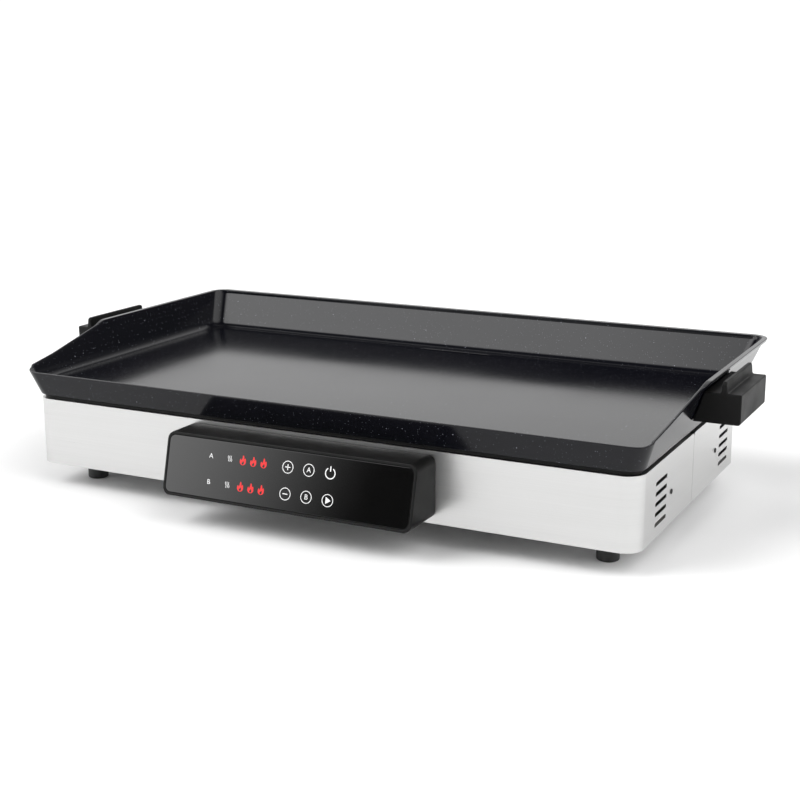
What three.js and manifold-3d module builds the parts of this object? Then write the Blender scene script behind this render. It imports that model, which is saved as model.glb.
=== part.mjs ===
// Electric griddle with a lift-off cooking plate, a touch panel and a slide-out drip tray.
//
// Millimetres, +Z up, +X along the long side, front face towards -Y. Pieces are drawn in the
// housing's own frame: x = 0 and y = 0 at the middle of the housing, z = 0 at its lower edge.
// The assembly is then moved so that the origin is under the middle of the whole object, on
// the surface that the feet stand on.

import * as THREE from "three";
import { mergeVertices } from "three/addons/utils/BufferGeometryUtils.js";
import Module from "manifold-3d";

const wasm = await Module();
wasm.setup();

// ---- Driving dimensions ------------------------------------------------------------------

const GAP = 0.3; // clearance between pieces that touch
const SHEET = 1.0; // steel sheet of the housing

const HOUSING = { halfX: 295, halfY: 149.4, height: 62.1, corner: 17, flange: 9, seam: 0.8 };
const VENT = { length: 30, height: 2.9, count: 5, lowest: 11.5, pitch: 8.575, y: [-92, 100.3] };
const SIDE_SCREW = { y: [-64, 72], z: 28.2, hole: 1.8, shank: 1.5, head: 2.3, headHeight: 0.7 };

const FOOT = { height: 21.5, radius: 9.7, x: 258, y: 109, bore: 2, recess: 4.8, recessTop: -12 };

// The plate's base line is level with the top of the insulating frame. Every wall leans out.
const PLATE = {
  base: 65.8,
  underside: 74,
  floor: 78,
  corner: 15,
  wall: 3.5,
  sideFlare: 0.342,
  frontFlare: 0.302,
  rearFlare: 0.778,
  frontRim: 88,
  kinkRim: 112,
  rearRim: 114,
  kinkY: -32,
  frontRimY: -152,
  lipReach: 2.5,
  lipHeight: 3,
  recessX: 286,
  recessFront: -141,
  recessRear: 146.8,
};
const DRAIN = { x: 4, y: 143.5, length: 76, width: 4.8 };
const CHUTE_ROOM = 42; // half the width left free for the drain chute
const FRAME = { halfX: 292, halfY: 146.8, innerX: 268, innerY: 124, corner: 14 };

const HANDLE = {
  outer: 340,
  bottom: 79.5,
  top: 105.5,
  front: -28.4,
  rear: 58,
  finX: [323, 328],
  finTop: 115.3,
  screwX: 315,
  screwY: [3, 27],
};
const LUG = { reach: 323, front: -6, rear: 36, bottom: 85, top: 92 };

// The control panel is a wedge on the front wall: its face leans back.
const PANEL = {
  x: 2.4,
  halfWidth: 120.6,
  bottom: 5.2,
  top: 59,
  bottomReach: 46,
  topReach: 33,
  faceBottom: 6,
  faceTop: 57,
  corner: 7,
  wall: 2.4,
  border: 3.2,
  glass: 2,
};

const TRAY = { halfX: 58, front: 52, bottom: 3.2, height: 22.8, wall: 2, panelHalfX: 64 };
const REFLECTOR = { halfX: 270, halfY: 126, floor: 44, flangeTop: 60.8 };
const ELEMENT = { radius: 3.3, z: 70.2, inner: 25, runs: [-100, -35, 35, 100], turnX: 223 };
const INLET = { x: -205, z: 24, halfX: 14, halfZ: 10.5, depth: 28 };
const LEAD_RADIUS = 2.3;
const BOARD = { x: 120, y: -66, halfX: 76, halfY: 44, z: 8, thickness: 1.6 };

const FRONT = -(HOUSING.halfY + PANEL.bottomReach);
const REAR = HOUSING.halfY + PLATE.rearFlare * (PLATE.rearRim - PLATE.base) + PLATE.lipReach;

// ---- Materials ---------------------------------------------------------------------------

const finish = (color, roughness, metalness) =>
  new THREE.MeshStandardMaterial({ color, roughness, metalness });

const BRUSHED_STEEL = finish(0xd4d4d2, 0.35, 1);
const BRIGHT_SHEET = finish(0xc4c6c8, 0.3, 1);
const NONSTICK = finish(0x17181a, 0.4, 0.1);
const BLACK_PLASTIC = finish(0x141414, 0.6, 0);
const PANEL_GLASS = finish(0x060608, 0.08, 0);
const BLACK_RUBBER = finish(0x1a1a1a, 0.8, 0);
const HEATER_METAL = finish(0x55534f, 0.5, 0.8);
const SCREW_STEEL = finish(0xb4b4b4, 0.35, 1);
const BLACK_SCREW = finish(0x222222, 0.45, 0.6);
const CIRCUIT_BOARD = finish(0x1f4d32, 0.6, 0);
const RELAY_CASE = finish(0x2a3a66, 0.5, 0);
const CERAMIC = finish(0xe8e2d4, 0.7, 0);
const WIRE_SLEEVE = finish(0xcfc8b8, 0.8, 0);

// ---- Shapes ------------------------------------------------------------------------------

const CORNER_STEPS = 5;

function roundedRect(x0, x1, y0, y1, radius) {
  const shape = new THREE.Shape();
  shape.moveTo(x0 + radius, y0);
  shape.lineTo(x1 - radius, y0);
  shape.absarc(x1 - radius, y0 + radius, radius, -Math.PI / 2, 0);
  shape.lineTo(x1, y1 - radius);
  shape.absarc(x1 - radius, y1 - radius, radius, 0, Math.PI / 2);
  shape.lineTo(x0 + radius, y1);
  shape.absarc(x0 + radius, y1 - radius, radius, Math.PI / 2, Math.PI);
  shape.lineTo(x0, y0 + radius);
  shape.absarc(x0 + radius, y0 + radius, radius, Math.PI, 1.5 * Math.PI);
  return shape;
}

function polygon(points) {
  return new THREE.Shape(points.map(([x, y]) => new THREE.Vector2(x, y)));
}

// A shape drawn in X and Y, raised from z0 to z1.
function prism(shape, z0, z1, steps = 1) {
  const options = { depth: z1 - z0, steps, bevelEnabled: false, curveSegments: CORNER_STEPS };
  return new THREE.ExtrudeGeometry(shape, options).translate(0, 0, z0);
}

// A shape drawn in X and Z, carried from y0 to y1.
function prismAlongY(shape, y0, y1) {
  return prism(shape, 0, y1 - y0).rotateX(Math.PI / 2).translate(0, y1, 0);
}

// A shape drawn in Y and Z, carried from x0 to x1.
function prismAlongX(shape, x0, x1) {
  const [x, y, z] = [0, 1, 2].map((i) => new THREE.Vector3().setComponent(i, 1));
  return prism(shape, x0, x1).applyMatrix4(new THREE.Matrix4().makeBasis(y, z, x));
}

function block(x0, x1, y0, y1, z0, z1) {
  const box = new THREE.BoxGeometry(x1 - x0, y1 - y0, z1 - z0);
  return box.translate((x0 + x1) / 2, (y0 + y1) / 2, (z0 + z1) / 2);
}

// A solid of revolution about Z. The profile is [radius, z] points, up its outer side.
function turned(profile, sides) {
  const points = profile.map(([radius, z]) => new THREE.Vector2(radius, z));
  return new THREE.LatheGeometry(points, sides).rotateX(Math.PI / 2);
}

function cylinder(radius, z0, z1, sides = 12) {
  const rod = new THREE.CylinderGeometry(radius, radius, z1 - z0, sides);
  return rod.rotateX(Math.PI / 2).translate(0, 0, (z0 + z1) / 2);
}

function tube(curve, radius, steps, sides = 8) {
  const section = new THREE.Shape();
  section.absarc(0, 0, radius, 0, 2 * Math.PI);
  const options = { extrudePath: curve, steps, curveSegments: sides / 2, bevelEnabled: false };
  return new THREE.ExtrudeGeometry(section, options);
}

// ---- Joining and cutting -----------------------------------------------------------------

function toSolid(geometry) {
  const bare = new THREE.BufferGeometry();
  bare.setAttribute("position", geometry.getAttribute("position"));
  bare.setIndex(geometry.index);
  const merged = mergeVertices(bare, 1e-3);
  return new wasm.Manifold(
    new wasm.Mesh({
      numProp: 3,
      vertProperties: merged.getAttribute("position").array,
      triVerts: new Uint32Array(merged.index.array),
    }),
  );
}

function toGeometry(solid) {
  const mesh = solid.getMesh();
  const geometry = new THREE.BufferGeometry();
  geometry.setAttribute("position", new THREE.BufferAttribute(mesh.vertProperties, 3));
  geometry.setIndex(new THREE.BufferAttribute(mesh.triVerts, 1));
  geometry.computeVertexNormals();
  return geometry;
}

function join(first, ...others) {
  return toGeometry(others.reduce((solid, next) => solid.add(toSolid(next)), toSolid(first)));
}

function cut(first, ...tools) {
  return toGeometry(tools.reduce((solid, tool) => solid.subtract(toSolid(tool)), toSolid(first)));
}

function common(first, second) {
  return toGeometry(toSolid(first).intersect(toSolid(second)));
}

// ---- Assembly ----------------------------------------------------------------------------

const griddle = new THREE.Group();
const assembly = new THREE.Group();
assembly.position.set(0, -(FRONT + REAR) / 2, FOOT.height);
griddle.add(assembly);

function place(name, geometry, material, x = 0, y = 0, z = 0) {
  const mesh = new THREE.Mesh(geometry, material);
  mesh.name = name;
  mesh.position.set(x, y, z);
  assembly.add(mesh);
}

const SIDES = [
  { side: "left", sign: -1 },
  { side: "right", sign: 1 },
];
const ENDS = [
  { end: "front", sign: -1 },
  { end: "rear", sign: 1 },
];

// ---- Housing -----------------------------------------------------------------------------

function housingOutline(inset) {
  const { halfX, halfY, corner } = HOUSING;
  const radius = Math.max(corner - inset, 4);
  return roundedRect(-halfX + inset, halfX - inset, -halfY + inset, halfY - inset, radius);
}

// The window in the rear edge of every layer that the drain chute passes through.
function chuteWindow(z0, z1) {
  const [x0, x1] = [DRAIN.x - CHUTE_ROOM, DRAIN.x + CHUTE_ROOM];
  return block(x0, x1, 137, HOUSING.halfY - SHEET, z0, z1);
}

function ventSlots() {
  const slots = [];
  for (const { sign } of SIDES) {
    for (const y of VENT.y) {
      for (let row = 0; row < VENT.count; row += 1) {
        const z = VENT.lowest + row * VENT.pitch;
        const [y0, y1] = [y - VENT.length / 2, y + VENT.length / 2];
        const slot = block(-4, 4, y0, y1, z - VENT.height / 2, z + VENT.height / 2);
        slots.push(slot.translate(sign * HOUSING.halfX, 0, 0));
      }
    }
  }
  return slots;
}

function sideScrewHoles(radius) {
  const holes = [];
  for (const { sign } of SIDES) {
    for (const y of SIDE_SCREW.y) {
      const hole = cylinder(radius, -5, 5).rotateY(Math.PI / 2);
      holes.push(hole.translate(sign * HOUSING.halfX, y, SIDE_SCREW.z));
    }
  }
  return holes;
}

// One continuous wall with a turned-in top flange, later split at the side seams.
function housingWrap() {
  const { height, flange } = HOUSING;
  const wall = cut(prism(housingOutline(0), 0, height), prism(housingOutline(SHEET), -1, height + 1));
  const top = cut(
    prism(housingOutline(0), height - SHEET, height),
    prism(housingOutline(flange), height - 2 * SHEET, height + 1),
    chuteWindow(height - 2 * SHEET, height + 1),
  );
  return cut(join(wall, top), ...ventSlots(), ...sideScrewHoles(SIDE_SCREW.hole));
}

function addHousing() {
  const wrap = housingWrap();
  const { halfX, halfY, height, seam } = HOUSING;
  const frontHalf = block(-halfX - 1, halfX + 1, -halfY - 1, -seam / 2, -1, height + 1);
  const rearHalf = block(-halfX - 1, halfX + 1, seam / 2, halfY + 1, -1, height + 1);
  const harnessHole = cylinder(8, -4, 4, 16).rotateX(Math.PI / 2);
  harnessHole.translate(PANEL.x, -halfY, 30);
  const trayDoor = block(
    DRAIN.x - TRAY.halfX - 1.5,
    DRAIN.x + TRAY.halfX + 1.5,
    halfY - 4,
    halfY + 4,
    TRAY.bottom - 0.7,
    TRAY.bottom + TRAY.height + 3,
  );
  const inletDoor = block(
    INLET.x - INLET.halfX - GAP,
    INLET.x + INLET.halfX + GAP,
    halfY - 4,
    halfY + 4,
    INLET.z - INLET.halfZ - GAP,
    INLET.z + INLET.halfZ + GAP,
  );
  place("front_shell", cut(common(wrap, frontHalf), harnessHole), BRUSHED_STEEL);
  place("rear_shell", cut(common(wrap, rearHalf), trayDoor, inletDoor), BRUSHED_STEEL);
}

function footHoles(radius, z0, z1) {
  const holes = [];
  for (const x of SIDES) {
    for (const y of ENDS) {
      holes.push(cylinder(radius, z0, z1).translate(x.sign * FOOT.x, y.sign * FOOT.y, 0));
    }
  }
  return holes;
}

function addBottomPan() {
  const rim = 10;
  const thickness = 1.2;
  const outer = SHEET + GAP;
  const pan = cut(
    prism(housingOutline(outer), 0, rim),
    prism(housingOutline(outer + thickness), thickness, rim + 1),
    block(DRAIN.x - 66, DRAIN.x + 66, 140, 160, thickness, rim + 1),
    ...footHoles(FOOT.bore, -1, 3),
  );
  const airSlots = [];
  for (const { sign } of SIDES) {
    for (let row = 0; row < 5; row += 1) {
      const y = -60 + 20 * row;
      airSlots.push(block(-35, 35, y - 2.5, y + 2.5, -1, 3).translate(sign * 215, 0, 0));
    }
  }
  place("bottom_pan", cut(pan, ...airSlots), BRIGHT_SHEET);
}

function addFeet() {
  const { height, radius, bore, recess, recessTop } = FOOT;
  const footProfile = [
    [bore, recessTop],
    [recess, recessTop],
    [recess, -height],
    [radius - 1.6, -height],
    [radius - 0.4, -height + 0.8],
    [radius, -height + 2.2],
    [radius, -GAP],
    [bore, -GAP],
    [bore, recessTop],
  ];
  const screwProfile = [
    [0, recessTop - 2.8],
    [4, recessTop - 2.8],
    [4, recessTop - GAP],
    [1.7, recessTop - GAP],
    [1.7, 6],
    [0, 6],
  ];
  for (const x of SIDES) {
    for (const y of ENDS) {
      const corner = `${y.end}_${x.side}`;
      const at = [x.sign * FOOT.x, y.sign * FOOT.y];
      place(`foot_${corner}`, turned(footProfile, 18), BLACK_RUBBER, ...at);
      place(`foot_screw_${corner}`, turned(screwProfile, 12), SCREW_STEEL, ...at);
    }
  }
}

// A strap behind each side seam ties the two halves of the housing together.
function addSideBrackets() {
  const outer = HOUSING.halfX - SHEET - GAP;
  const thickness = 1.5;
  for (const { side, sign } of SIDES) {
    const xs = [sign * outer, sign * (outer - thickness)].sort((a, b) => a - b);
    const strap = block(...xs, -75, 83, 20, 50);
    place(`side_bracket_${side}`, cut(strap, ...sideScrewHoles(SIDE_SCREW.hole)), BRIGHT_SHEET);
    SIDE_SCREW.y.forEach((y, index) => {
      const { shank, head, headHeight } = SIDE_SCREW;
      const profile = [
        [0, -7],
        [shank, -7],
        [shank, GAP],
        [head, GAP],
        [head * 0.8, GAP + headHeight],
        [0, GAP + headHeight],
      ];
      const screw = turned(profile, 12).rotateY((sign * Math.PI) / 2);
      const at = [sign * HOUSING.halfX, y, SIDE_SCREW.z];
      place(`side_screw_${ENDS[index].end}_${side}`, screw, BLACK_SCREW, ...at);
    });
  }
}

// The black heat-proof frame that the plate rests on. It is open at the rear for the chute.
function addInsulatingFrame() {
  const { halfX, halfY, innerX, innerY, corner } = FRAME;
  const [z0, z1] = [HOUSING.height + GAP, PLATE.base - GAP];
  const [gap0, gap1] = [DRAIN.x - CHUTE_ROOM, DRAIN.x + CHUTE_ROOM];
  const frame = cut(
    prism(roundedRect(-halfX, halfX, -halfY, halfY, corner), z0, z1),
    prism(roundedRect(-innerX, innerX, -innerY, innerY, corner), z0 - 1, z1 + 1),
    block(gap0, gap1, innerY - 1, halfY + 1, z0 - 1, z1 + 1),
  );
  place("insulating_frame", frame, BLACK_PLASTIC);
}

// ---- Heating -----------------------------------------------------------------------------

function elementEnds(radius) {
  const holes = [];
  for (const { sign } of SIDES) {
    for (const y of [ELEMENT.runs[0], ELEMENT.runs.at(-1)]) {
      const z0 = REFLECTOR.floor - 2;
      holes.push(cylinder(radius, z0, z0 + 5).translate(sign * ELEMENT.inner, y, 0));
    }
  }
  return holes;
}

function addReflector() {
  const { halfX, halfY, floor, flangeTop } = REFLECTOR;
  const tray = cut(
    prism(roundedRect(-halfX, halfX, -halfY, halfY, 18), floor, flangeTop),
    prism(roundedRect(1 - halfX, halfX - 1, 1 - halfY, halfY - 1, 17), floor + 1, flangeTop + 1),
  );
  const flange = cut(
    prism(housingOutline(3), flangeTop - 1, flangeTop),
    prism(roundedRect(1 - halfX, halfX - 1, 1 - halfY, halfY - 1, 17), floor, flangeTop + 1),
    chuteWindow(floor, flangeTop + 1),
  );
  place("reflector_tray", cut(join(tray, flange), ...elementEnds(6)), BRIGHT_SHEET);
}

// A tubular heater bent into three turns, with both ends led down through the reflector.
function heaterCurve(sign) {
  const { inner, runs, turnX, z } = ELEMENT;
  const half = (runs[1] - runs[0]) / 2;
  const path = new THREE.CurvePath();
  const at = (x, y, height = z) => new THREE.Vector3(sign * x, y, height);
  const line = (a, b) => path.add(new THREE.LineCurve3(a, b));
  const bend = (a, via, b) => path.add(new THREE.QuadraticBezierCurve3(a, via, b));
  const turn = (x, y0, y1, bulge) => {
    bend(at(x, y0), at(x + bulge, y0), at(x + bulge, (y0 + y1) / 2));
    bend(at(x + bulge, (y0 + y1) / 2), at(x + bulge, y1), at(x, y1));
  };
  const drop = 16;
  const end = 35;
  const innerTurnX = inner + half + 8;
  line(at(inner, runs[0], end), at(inner, runs[0], z - drop));
  bend(at(inner, runs[0], z - drop), at(inner, runs[0]), at(inner + drop, runs[0]));
  line(at(inner + drop, runs[0]), at(turnX, runs[0]));
  turn(turnX, runs[0], runs[1], half);
  line(at(turnX, runs[1]), at(innerTurnX, runs[1]));
  turn(innerTurnX, runs[1], runs[2], -half);
  line(at(innerTurnX, runs[2]), at(turnX, runs[2]));
  turn(turnX, runs[2], runs[3], half);
  line(at(turnX, runs[3]), at(inner + drop, runs[3]));
  bend(at(inner + drop, runs[3]), at(inner, runs[3]), at(inner, runs[3], z - drop));
  line(at(inner, runs[3], z - drop), at(inner, runs[3], end));
  return path;
}

function addHeaters() {
  for (const { side, sign } of SIDES) {
    place(`heating_element_${side}`, tube(heaterCurve(sign), ELEMENT.radius, 84, 6), HEATER_METAL);
    const stripTop = ELEMENT.z - ELEMENT.radius - GAP;
    const legBottom = REFLECTOR.floor + 1 + GAP;
    const bridge = polygon([
      [-112, legBottom],
      [-110.8, legBottom],
      [-110.8, stripTop - 1],
      [110.8, stripTop - 1],
      [110.8, legBottom],
      [112, legBottom],
      [112, stripTop],
      [-112, stripTop],
    ]);
    for (const [where, x] of [["inner", 88], ["outer", 205]]) {
      place(`heater_bridge_${side}_${where}`, prismAlongX(bridge, -6, 6), BRIGHT_SHEET, sign * x);
    }
    const sensorProfile = [
      [0, legBottom],
      [10, legBottom],
      [10, legBottom + 1.5],
      [4.5, legBottom + 1.5],
      [4.5, 66],
      [7, 66],
      [7, PLATE.underside - GAP],
      [0, PLATE.underside - GAP],
    ];
    place(`plate_sensor_${side}`, turned(sensorProfile, 16), SCREW_STEEL, sign * 145);
  }
  const fuse = [
    [0, -14],
    [1, -14],
    [1, -9],
    [2.6, -8],
    [2.6, 8],
    [1, 9],
    [1, 14],
    [0, 14],
  ];
  place("thermal_fuse", turned(fuse, 10).rotateY(Math.PI / 2), CERAMIC, 0, 20, 50);
}

// ---- Electrics ---------------------------------------------------------------------------

function lead(points, radius) {
  const curve = new THREE.CatmullRomCurve3(points.map((p) => new THREE.Vector3(...p)));
  return tube(curve, radius, 12, 8);
}

function addElectrics() {
  const { x, y, halfX, halfY, z, thickness } = BOARD;
  const top = z + thickness;
  const board = block(-halfX, halfX, -halfY, halfY, z, top);
  const spacers = [];
  for (const sx of [-1, 1]) {
    for (const sy of [-1, 1]) {
      spacers.push(cylinder(3, 1.5, z + 0.5).translate(sx * (halfX - 6), sy * (halfY - 6), 0));
    }
  }
  const transformer = block(-60, -34, -30, 0, top - 0.5, top + 20);
  const heatSink = block(-20, 50, 26, 34, top - 0.5, top + 16);
  place("power_board", join(board, ...spacers, transformer, heatSink), CIRCUIT_BOARD, x, y);
  [-8, 30].forEach((offset, index) => {
    const relay = block(-14, 14, -8, 8, top + GAP, top + 22);
    place(`relay_${SIDES[index].side}`, relay, RELAY_CASE, x + offset, y - 12);
  });
  place("terminal_block", block(-20, 20, -9, 9, 1.5, 18), CERAMIC, -140, 40);

  const boardLevel = top + 4;
  const boardEdge = [40, -50, boardLevel];
  const routes = {
    harness: [[2, -157, 30], [2, -140, 30], [8, -128, 24], [18, -118, 16], [38, -104, 12]],
    heater_lead_left: [[-25, -100, 34], [-24, -98, 26], [-5, -80, 20], [20, -60, 16], boardEdge],
    heater_lead_right: [[25, -100, 34], [26, -98, 28], [32, -90, 22], [42, -84, boardLevel]],
    mains_lead: [[-205, 119, 24], [-204, 100, 20], [-192, 70, 12], [-172, 46, 10], [-164, 41, 10]],
    supply_lead: [[-116, 38, 10], [-100, 30, 10], [-40, 0, 10], [10, -30, 12], [41, -40, boardLevel]],
  };
  for (const [name, points] of Object.entries(routes)) {
    place(name, lead(points, LEAD_RADIUS), WIRE_SLEEVE);
  }
}

// The appliance inlet: a flanged socket with three pins. Its cord unplugs.
function addInlet() {
  const { x, z, halfX, halfZ, depth } = INLET;
  const wall = HOUSING.halfY;
  const face = wall + GAP + 2.2;
  const body = block(-halfX, halfX, wall - depth, face, -halfZ, halfZ);
  const flange = block(-halfX - 4, halfX + 4, wall + GAP, face, -halfZ - 4, halfZ + 4);
  const socketFloor = wall - 20;
  const socket = block(2.4 - halfX, halfX - 2.4, socketFloor, face + 1, 2.4 - halfZ, halfZ - 2.4);
  place("power_inlet", cut(join(body, flange), socket), BLACK_PLASTIC, x, 0, z);
  for (const [name, px, pz] of [["live", -7, -2], ["neutral", 7, -2], ["earth", 0, 3]]) {
    const pin = block(-1, 1, socketFloor + GAP, wall - 4, -2, 2);
    place(`inlet_pin_${name}`, pin, SCREW_STEEL, x + px, 0, z + pz);
  }
}

// ---- Control panel -----------------------------------------------------------------------

const PANEL_SLOPE = (PANEL.bottomReach - PANEL.topReach) / (PANEL.faceTop - PANEL.faceBottom);
const PANEL_LEAN = Math.atan(PANEL_SLOPE);

// Moves a solid drawn flat (x across, y up the face, z out of it) onto the leaning face.
function onPanelFace(geometry) {
  const across = new THREE.Vector3(1, 0, 0);
  const up = new THREE.Vector3(0, Math.sin(PANEL_LEAN), Math.cos(PANEL_LEAN));
  const out = new THREE.Vector3().crossVectors(across, up);
  const matrix = new THREE.Matrix4().makeBasis(across, up, out);
  const middle = (PANEL.bottom + PANEL.top) / 2;
  const reach = PANEL.bottomReach - (middle - PANEL.faceBottom) * PANEL_SLOPE;
  matrix.setPosition(PANEL.x, -HOUSING.halfY - reach, middle);
  return geometry.applyMatrix4(matrix);
}

// The wedge's own solid, pulled in by an inset at the sides and by a setback at the face.
function panelWedge(inset, setback) {
  const { x, halfWidth, bottom, top, corner } = PANEL;
  const [x0, x1] = [x - halfWidth + inset, x + halfWidth - inset];
  const outline = roundedRect(x0, x1, bottom + inset, top - inset, corner - inset / 2);
  const back = -HOUSING.halfY - GAP;
  const bar = prismAlongY(outline, FRONT - 10, back + (inset > 0 ? 1 : 0));
  return cut(bar, onPanelFace(block(-200, 200, -60, 60, -setback, 60)));
}

function addPanel() {
  const { halfWidth, wall, border, glass, corner } = PANEL;
  const faceHalf = (PANEL.top - PANEL.bottom) / 2 / Math.cos(PANEL_LEAN);
  const glassShape = (inset) => {
    const [hx, hy] = [halfWidth - inset, faceHalf - inset];
    return roundedRect(-hx, hx, -hy, hy, corner - 2);
  };
  const pocket = onPanelFace(prism(glassShape(border), -glass - GAP, 1));
  const window = onPanelFace(prism(glassShape(border + 4), -12, 1));
  const housing = cut(panelWedge(0, 0), panelWedge(wall, wall + glass), pocket, window);
  place("control_housing", housing, BLACK_PLASTIC);

  const pane = prism(glassShape(border + GAP), -glass, 0);
  place("control_glass", onPanelFace(pane), PANEL_GLASS);

  const circuit = block(1 - halfWidth + 8, halfWidth - 9, -17, 17, -8.6, -7);
  place("control_board", onPanelFace(circuit), CIRCUIT_BOARD);

  const inset = wall + GAP;
  const [x0, x1] = [PANEL.x - halfWidth + inset, PANEL.x + halfWidth - inset];
  const outline = roundedRect(x0, x1, PANEL.bottom + inset, PANEL.top - inset, 5.5);
  const back = -HOUSING.halfY - GAP;
  const cover = prismAlongY(outline, back - 2, back);
  const hole = cylinder(8, -4, 4, 16).rotateX(Math.PI / 2).translate(PANEL.x, back, 30);
  place("control_back_cover", cut(cover, hole), BLACK_PLASTIC);
}

// ---- Drip tray ---------------------------------------------------------------------------

function addDripTray() {
  const { halfX, front, bottom, height, wall, panelHalfX } = TRAY;
  const { x } = DRAIN;
  const top = bottom + height;
  const panelY = HOUSING.halfY + 0.5;
  const body = block(-halfX, halfX, front, panelY + 1, bottom, top);
  const hollow = block(wall - halfX, halfX - wall, front + wall, 146, bottom + wall, top + 1);
  const panel = block(-panelHalfX, panelHalfX, panelY, panelY + 3, 1.5, top + 4.5);
  const pull = block(-24, 24, panelY + 1, panelY + 12, top - 3, top);
  place("drip_tray", cut(join(body, panel, pull), hollow), BLACK_PLASTIC, x);

  const side = halfX + 0.8;
  const guide = cut(
    block(-side - 1.2, side + 1.2, front - 4, 147, 1.5, 31),
    block(-side, side, front - 2.8, 160, 2.7, 29.8),
    block(-side + 4, side - 4, front + 4, 160, 20, 40),
  );
  place("tray_guide", guide, BRIGHT_SHEET, x);

  const chute = cut(
    block(-41, 41, 138.3, 147.8, top + 2, PLATE.base - GAP),
    block(-39.8, 39.8, 139.5, 146.6, top, PLATE.base + 1),
  );
  place("drain_chute", chute, BRIGHT_SHEET, x);
}

// ---- Cooking plate -----------------------------------------------------------------------

// Leans the walls of an upright prism outwards above the plate's base line.
function flare(geometry, levels) {
  const position = geometry.getAttribute("position");
  for (let i = 0; i < position.count; i += 1) {
    const level = levels[Math.round(position.getZ(i))];
    const rise = level.z - PLATE.base;
    const [sx, sy] = [Math.sign(position.getX(i)), Math.sign(position.getY(i))];
    const lean = sy > 0 ? PLATE.rearFlare : PLATE.frontFlare;
    const insetY = sy > 0 ? 0.68 * level.inset : level.inset;
    position.setX(i, position.getX(i) + sx * (PLATE.sideFlare * rise - level.inset));
    position.setY(i, position.getY(i) + sy * (lean * rise - insetY));
    position.setZ(i, level.z);
  }
  return geometry;
}

// A flared solid through the given levels, each a height and an inset from the outer wall.
function flaredBody(inset, levels) {
  const { halfX, halfY } = HOUSING;
  const { corner } = PLATE;
  const outline = roundedRect(inset - halfX, halfX - inset, inset - halfY, halfY - inset, corner);
  return flare(prism(outline, 0, levels.length - 1, levels.length - 1), levels);
}

function lugOutline(sign) {
  const wallX = HOUSING.halfX + PLATE.sideFlare * (LUG.bottom - PLATE.base) - 0.4;
  const xs = [sign * wallX, sign * LUG.reach].sort((a, b) => a - b);
  return block(...xs, LUG.front, LUG.rear, LUG.bottom, LUG.top);
}

function handleScrewHoles(sign, radius, z0, z1) {
  return HANDLE.screwY.map((y) =>
    cylinder(radius, z0, z1).translate(sign * HANDLE.screwX, y, 0),
  );
}

function cookingPlate() {
  const { base, floor, underside, frontRim, kinkRim, kinkY, frontRimY } = PLATE;
  const { rearRim: top, recessX, recessFront, recessRear } = PLATE;
  const outer = flaredBody(0, [
    { z: base, inset: 0 },
    { z: top, inset: 0 },
  ]);
  const hollow = flaredBody(PLATE.wall, [
    { z: floor, inset: 8.6 },
    { z: floor + 1, inset: 4.9 },
    { z: floor + 3.6, inset: 1.7 },
    { z: floor + 8.6, inset: 0 },
    { z: top + 6, inset: 0 },
  ]);
  const lipX = HOUSING.halfX + PLATE.sideFlare * (top - base) + PLATE.lipReach;
  const lip = new THREE.Shape();
  const lipCorner = PLATE.corner + PLATE.lipReach;
  lip.moveTo(lipX - PLATE.lipReach, kinkY - 20);
  lip.lineTo(lipX, kinkY);
  lip.lineTo(lipX, REAR - lipCorner);
  lip.absarc(lipX - lipCorner, REAR - lipCorner, lipCorner, 0, Math.PI / 2);
  lip.lineTo(lipCorner - lipX, REAR);
  lip.absarc(lipCorner - lipX, REAR - lipCorner, lipCorner, Math.PI / 2, Math.PI);
  lip.lineTo(-lipX, kinkY);
  lip.lineTo(PLATE.lipReach - lipX, kinkY - 20);
  const aboveRim = polygon([
    [-250, frontRim],
    [frontRimY, frontRim],
    [kinkY, kinkRim],
    [kinkY + 6, top],
    [250, top],
    [250, top + 20],
    [-250, top + 20],
  ]);
  const slot = roundedRect(
    DRAIN.x - DRAIN.length / 2,
    DRAIN.x + DRAIN.length / 2,
    DRAIN.y - DRAIN.width / 2,
    DRAIN.y + DRAIN.width / 2,
    DRAIN.width / 2 - 0.1,
  );
  const lugs = SIDES.map(({ sign }) =>
    cut(lugOutline(sign), ...handleScrewHoles(sign, 1.8, 80, 100)),
  );
  return cut(
    join(outer, prism(lip, top - PLATE.lipHeight, top), ...lugs),
    hollow,
    block(-recessX, recessX, recessFront, recessRear, base - 1, underside),
    prism(slot, base, floor + 4),
    prismAlongX(aboveRim, -400, 400),
  );
}

// The casting is kept as a floor and four walls, cut just inside the recess and along the middle
// of the drain slot, so that each is a simple shape and the pan stays open between them.
function addPlate() {
  const plate = toSolid(cookingPlate());
  const inside = 1;
  const x = PLATE.recessX - inside;
  const [front, rear] = [PLATE.recessFront + inside, DRAIN.y];
  const [far, z0, z1] = [400, PLATE.base - 1, PLATE.rearRim + 1];
  const rooms = {
    griddle_plate: block(-x, x, front, rear, z0, z1),
    plate_wall_front: block(-x, x, -far, front, z0, z1),
    plate_wall_rear: block(-x, x, rear, far, z0, z1),
    plate_wall_left: block(-far, -x, -far, far, z0, z1),
    plate_wall_right: block(x, far, -far, far, z0, z1),
  };
  for (const [name, room] of Object.entries(rooms)) {
    place(name, toGeometry(plate.intersect(toSolid(room))), NONSTICK);
  }
}

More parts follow.
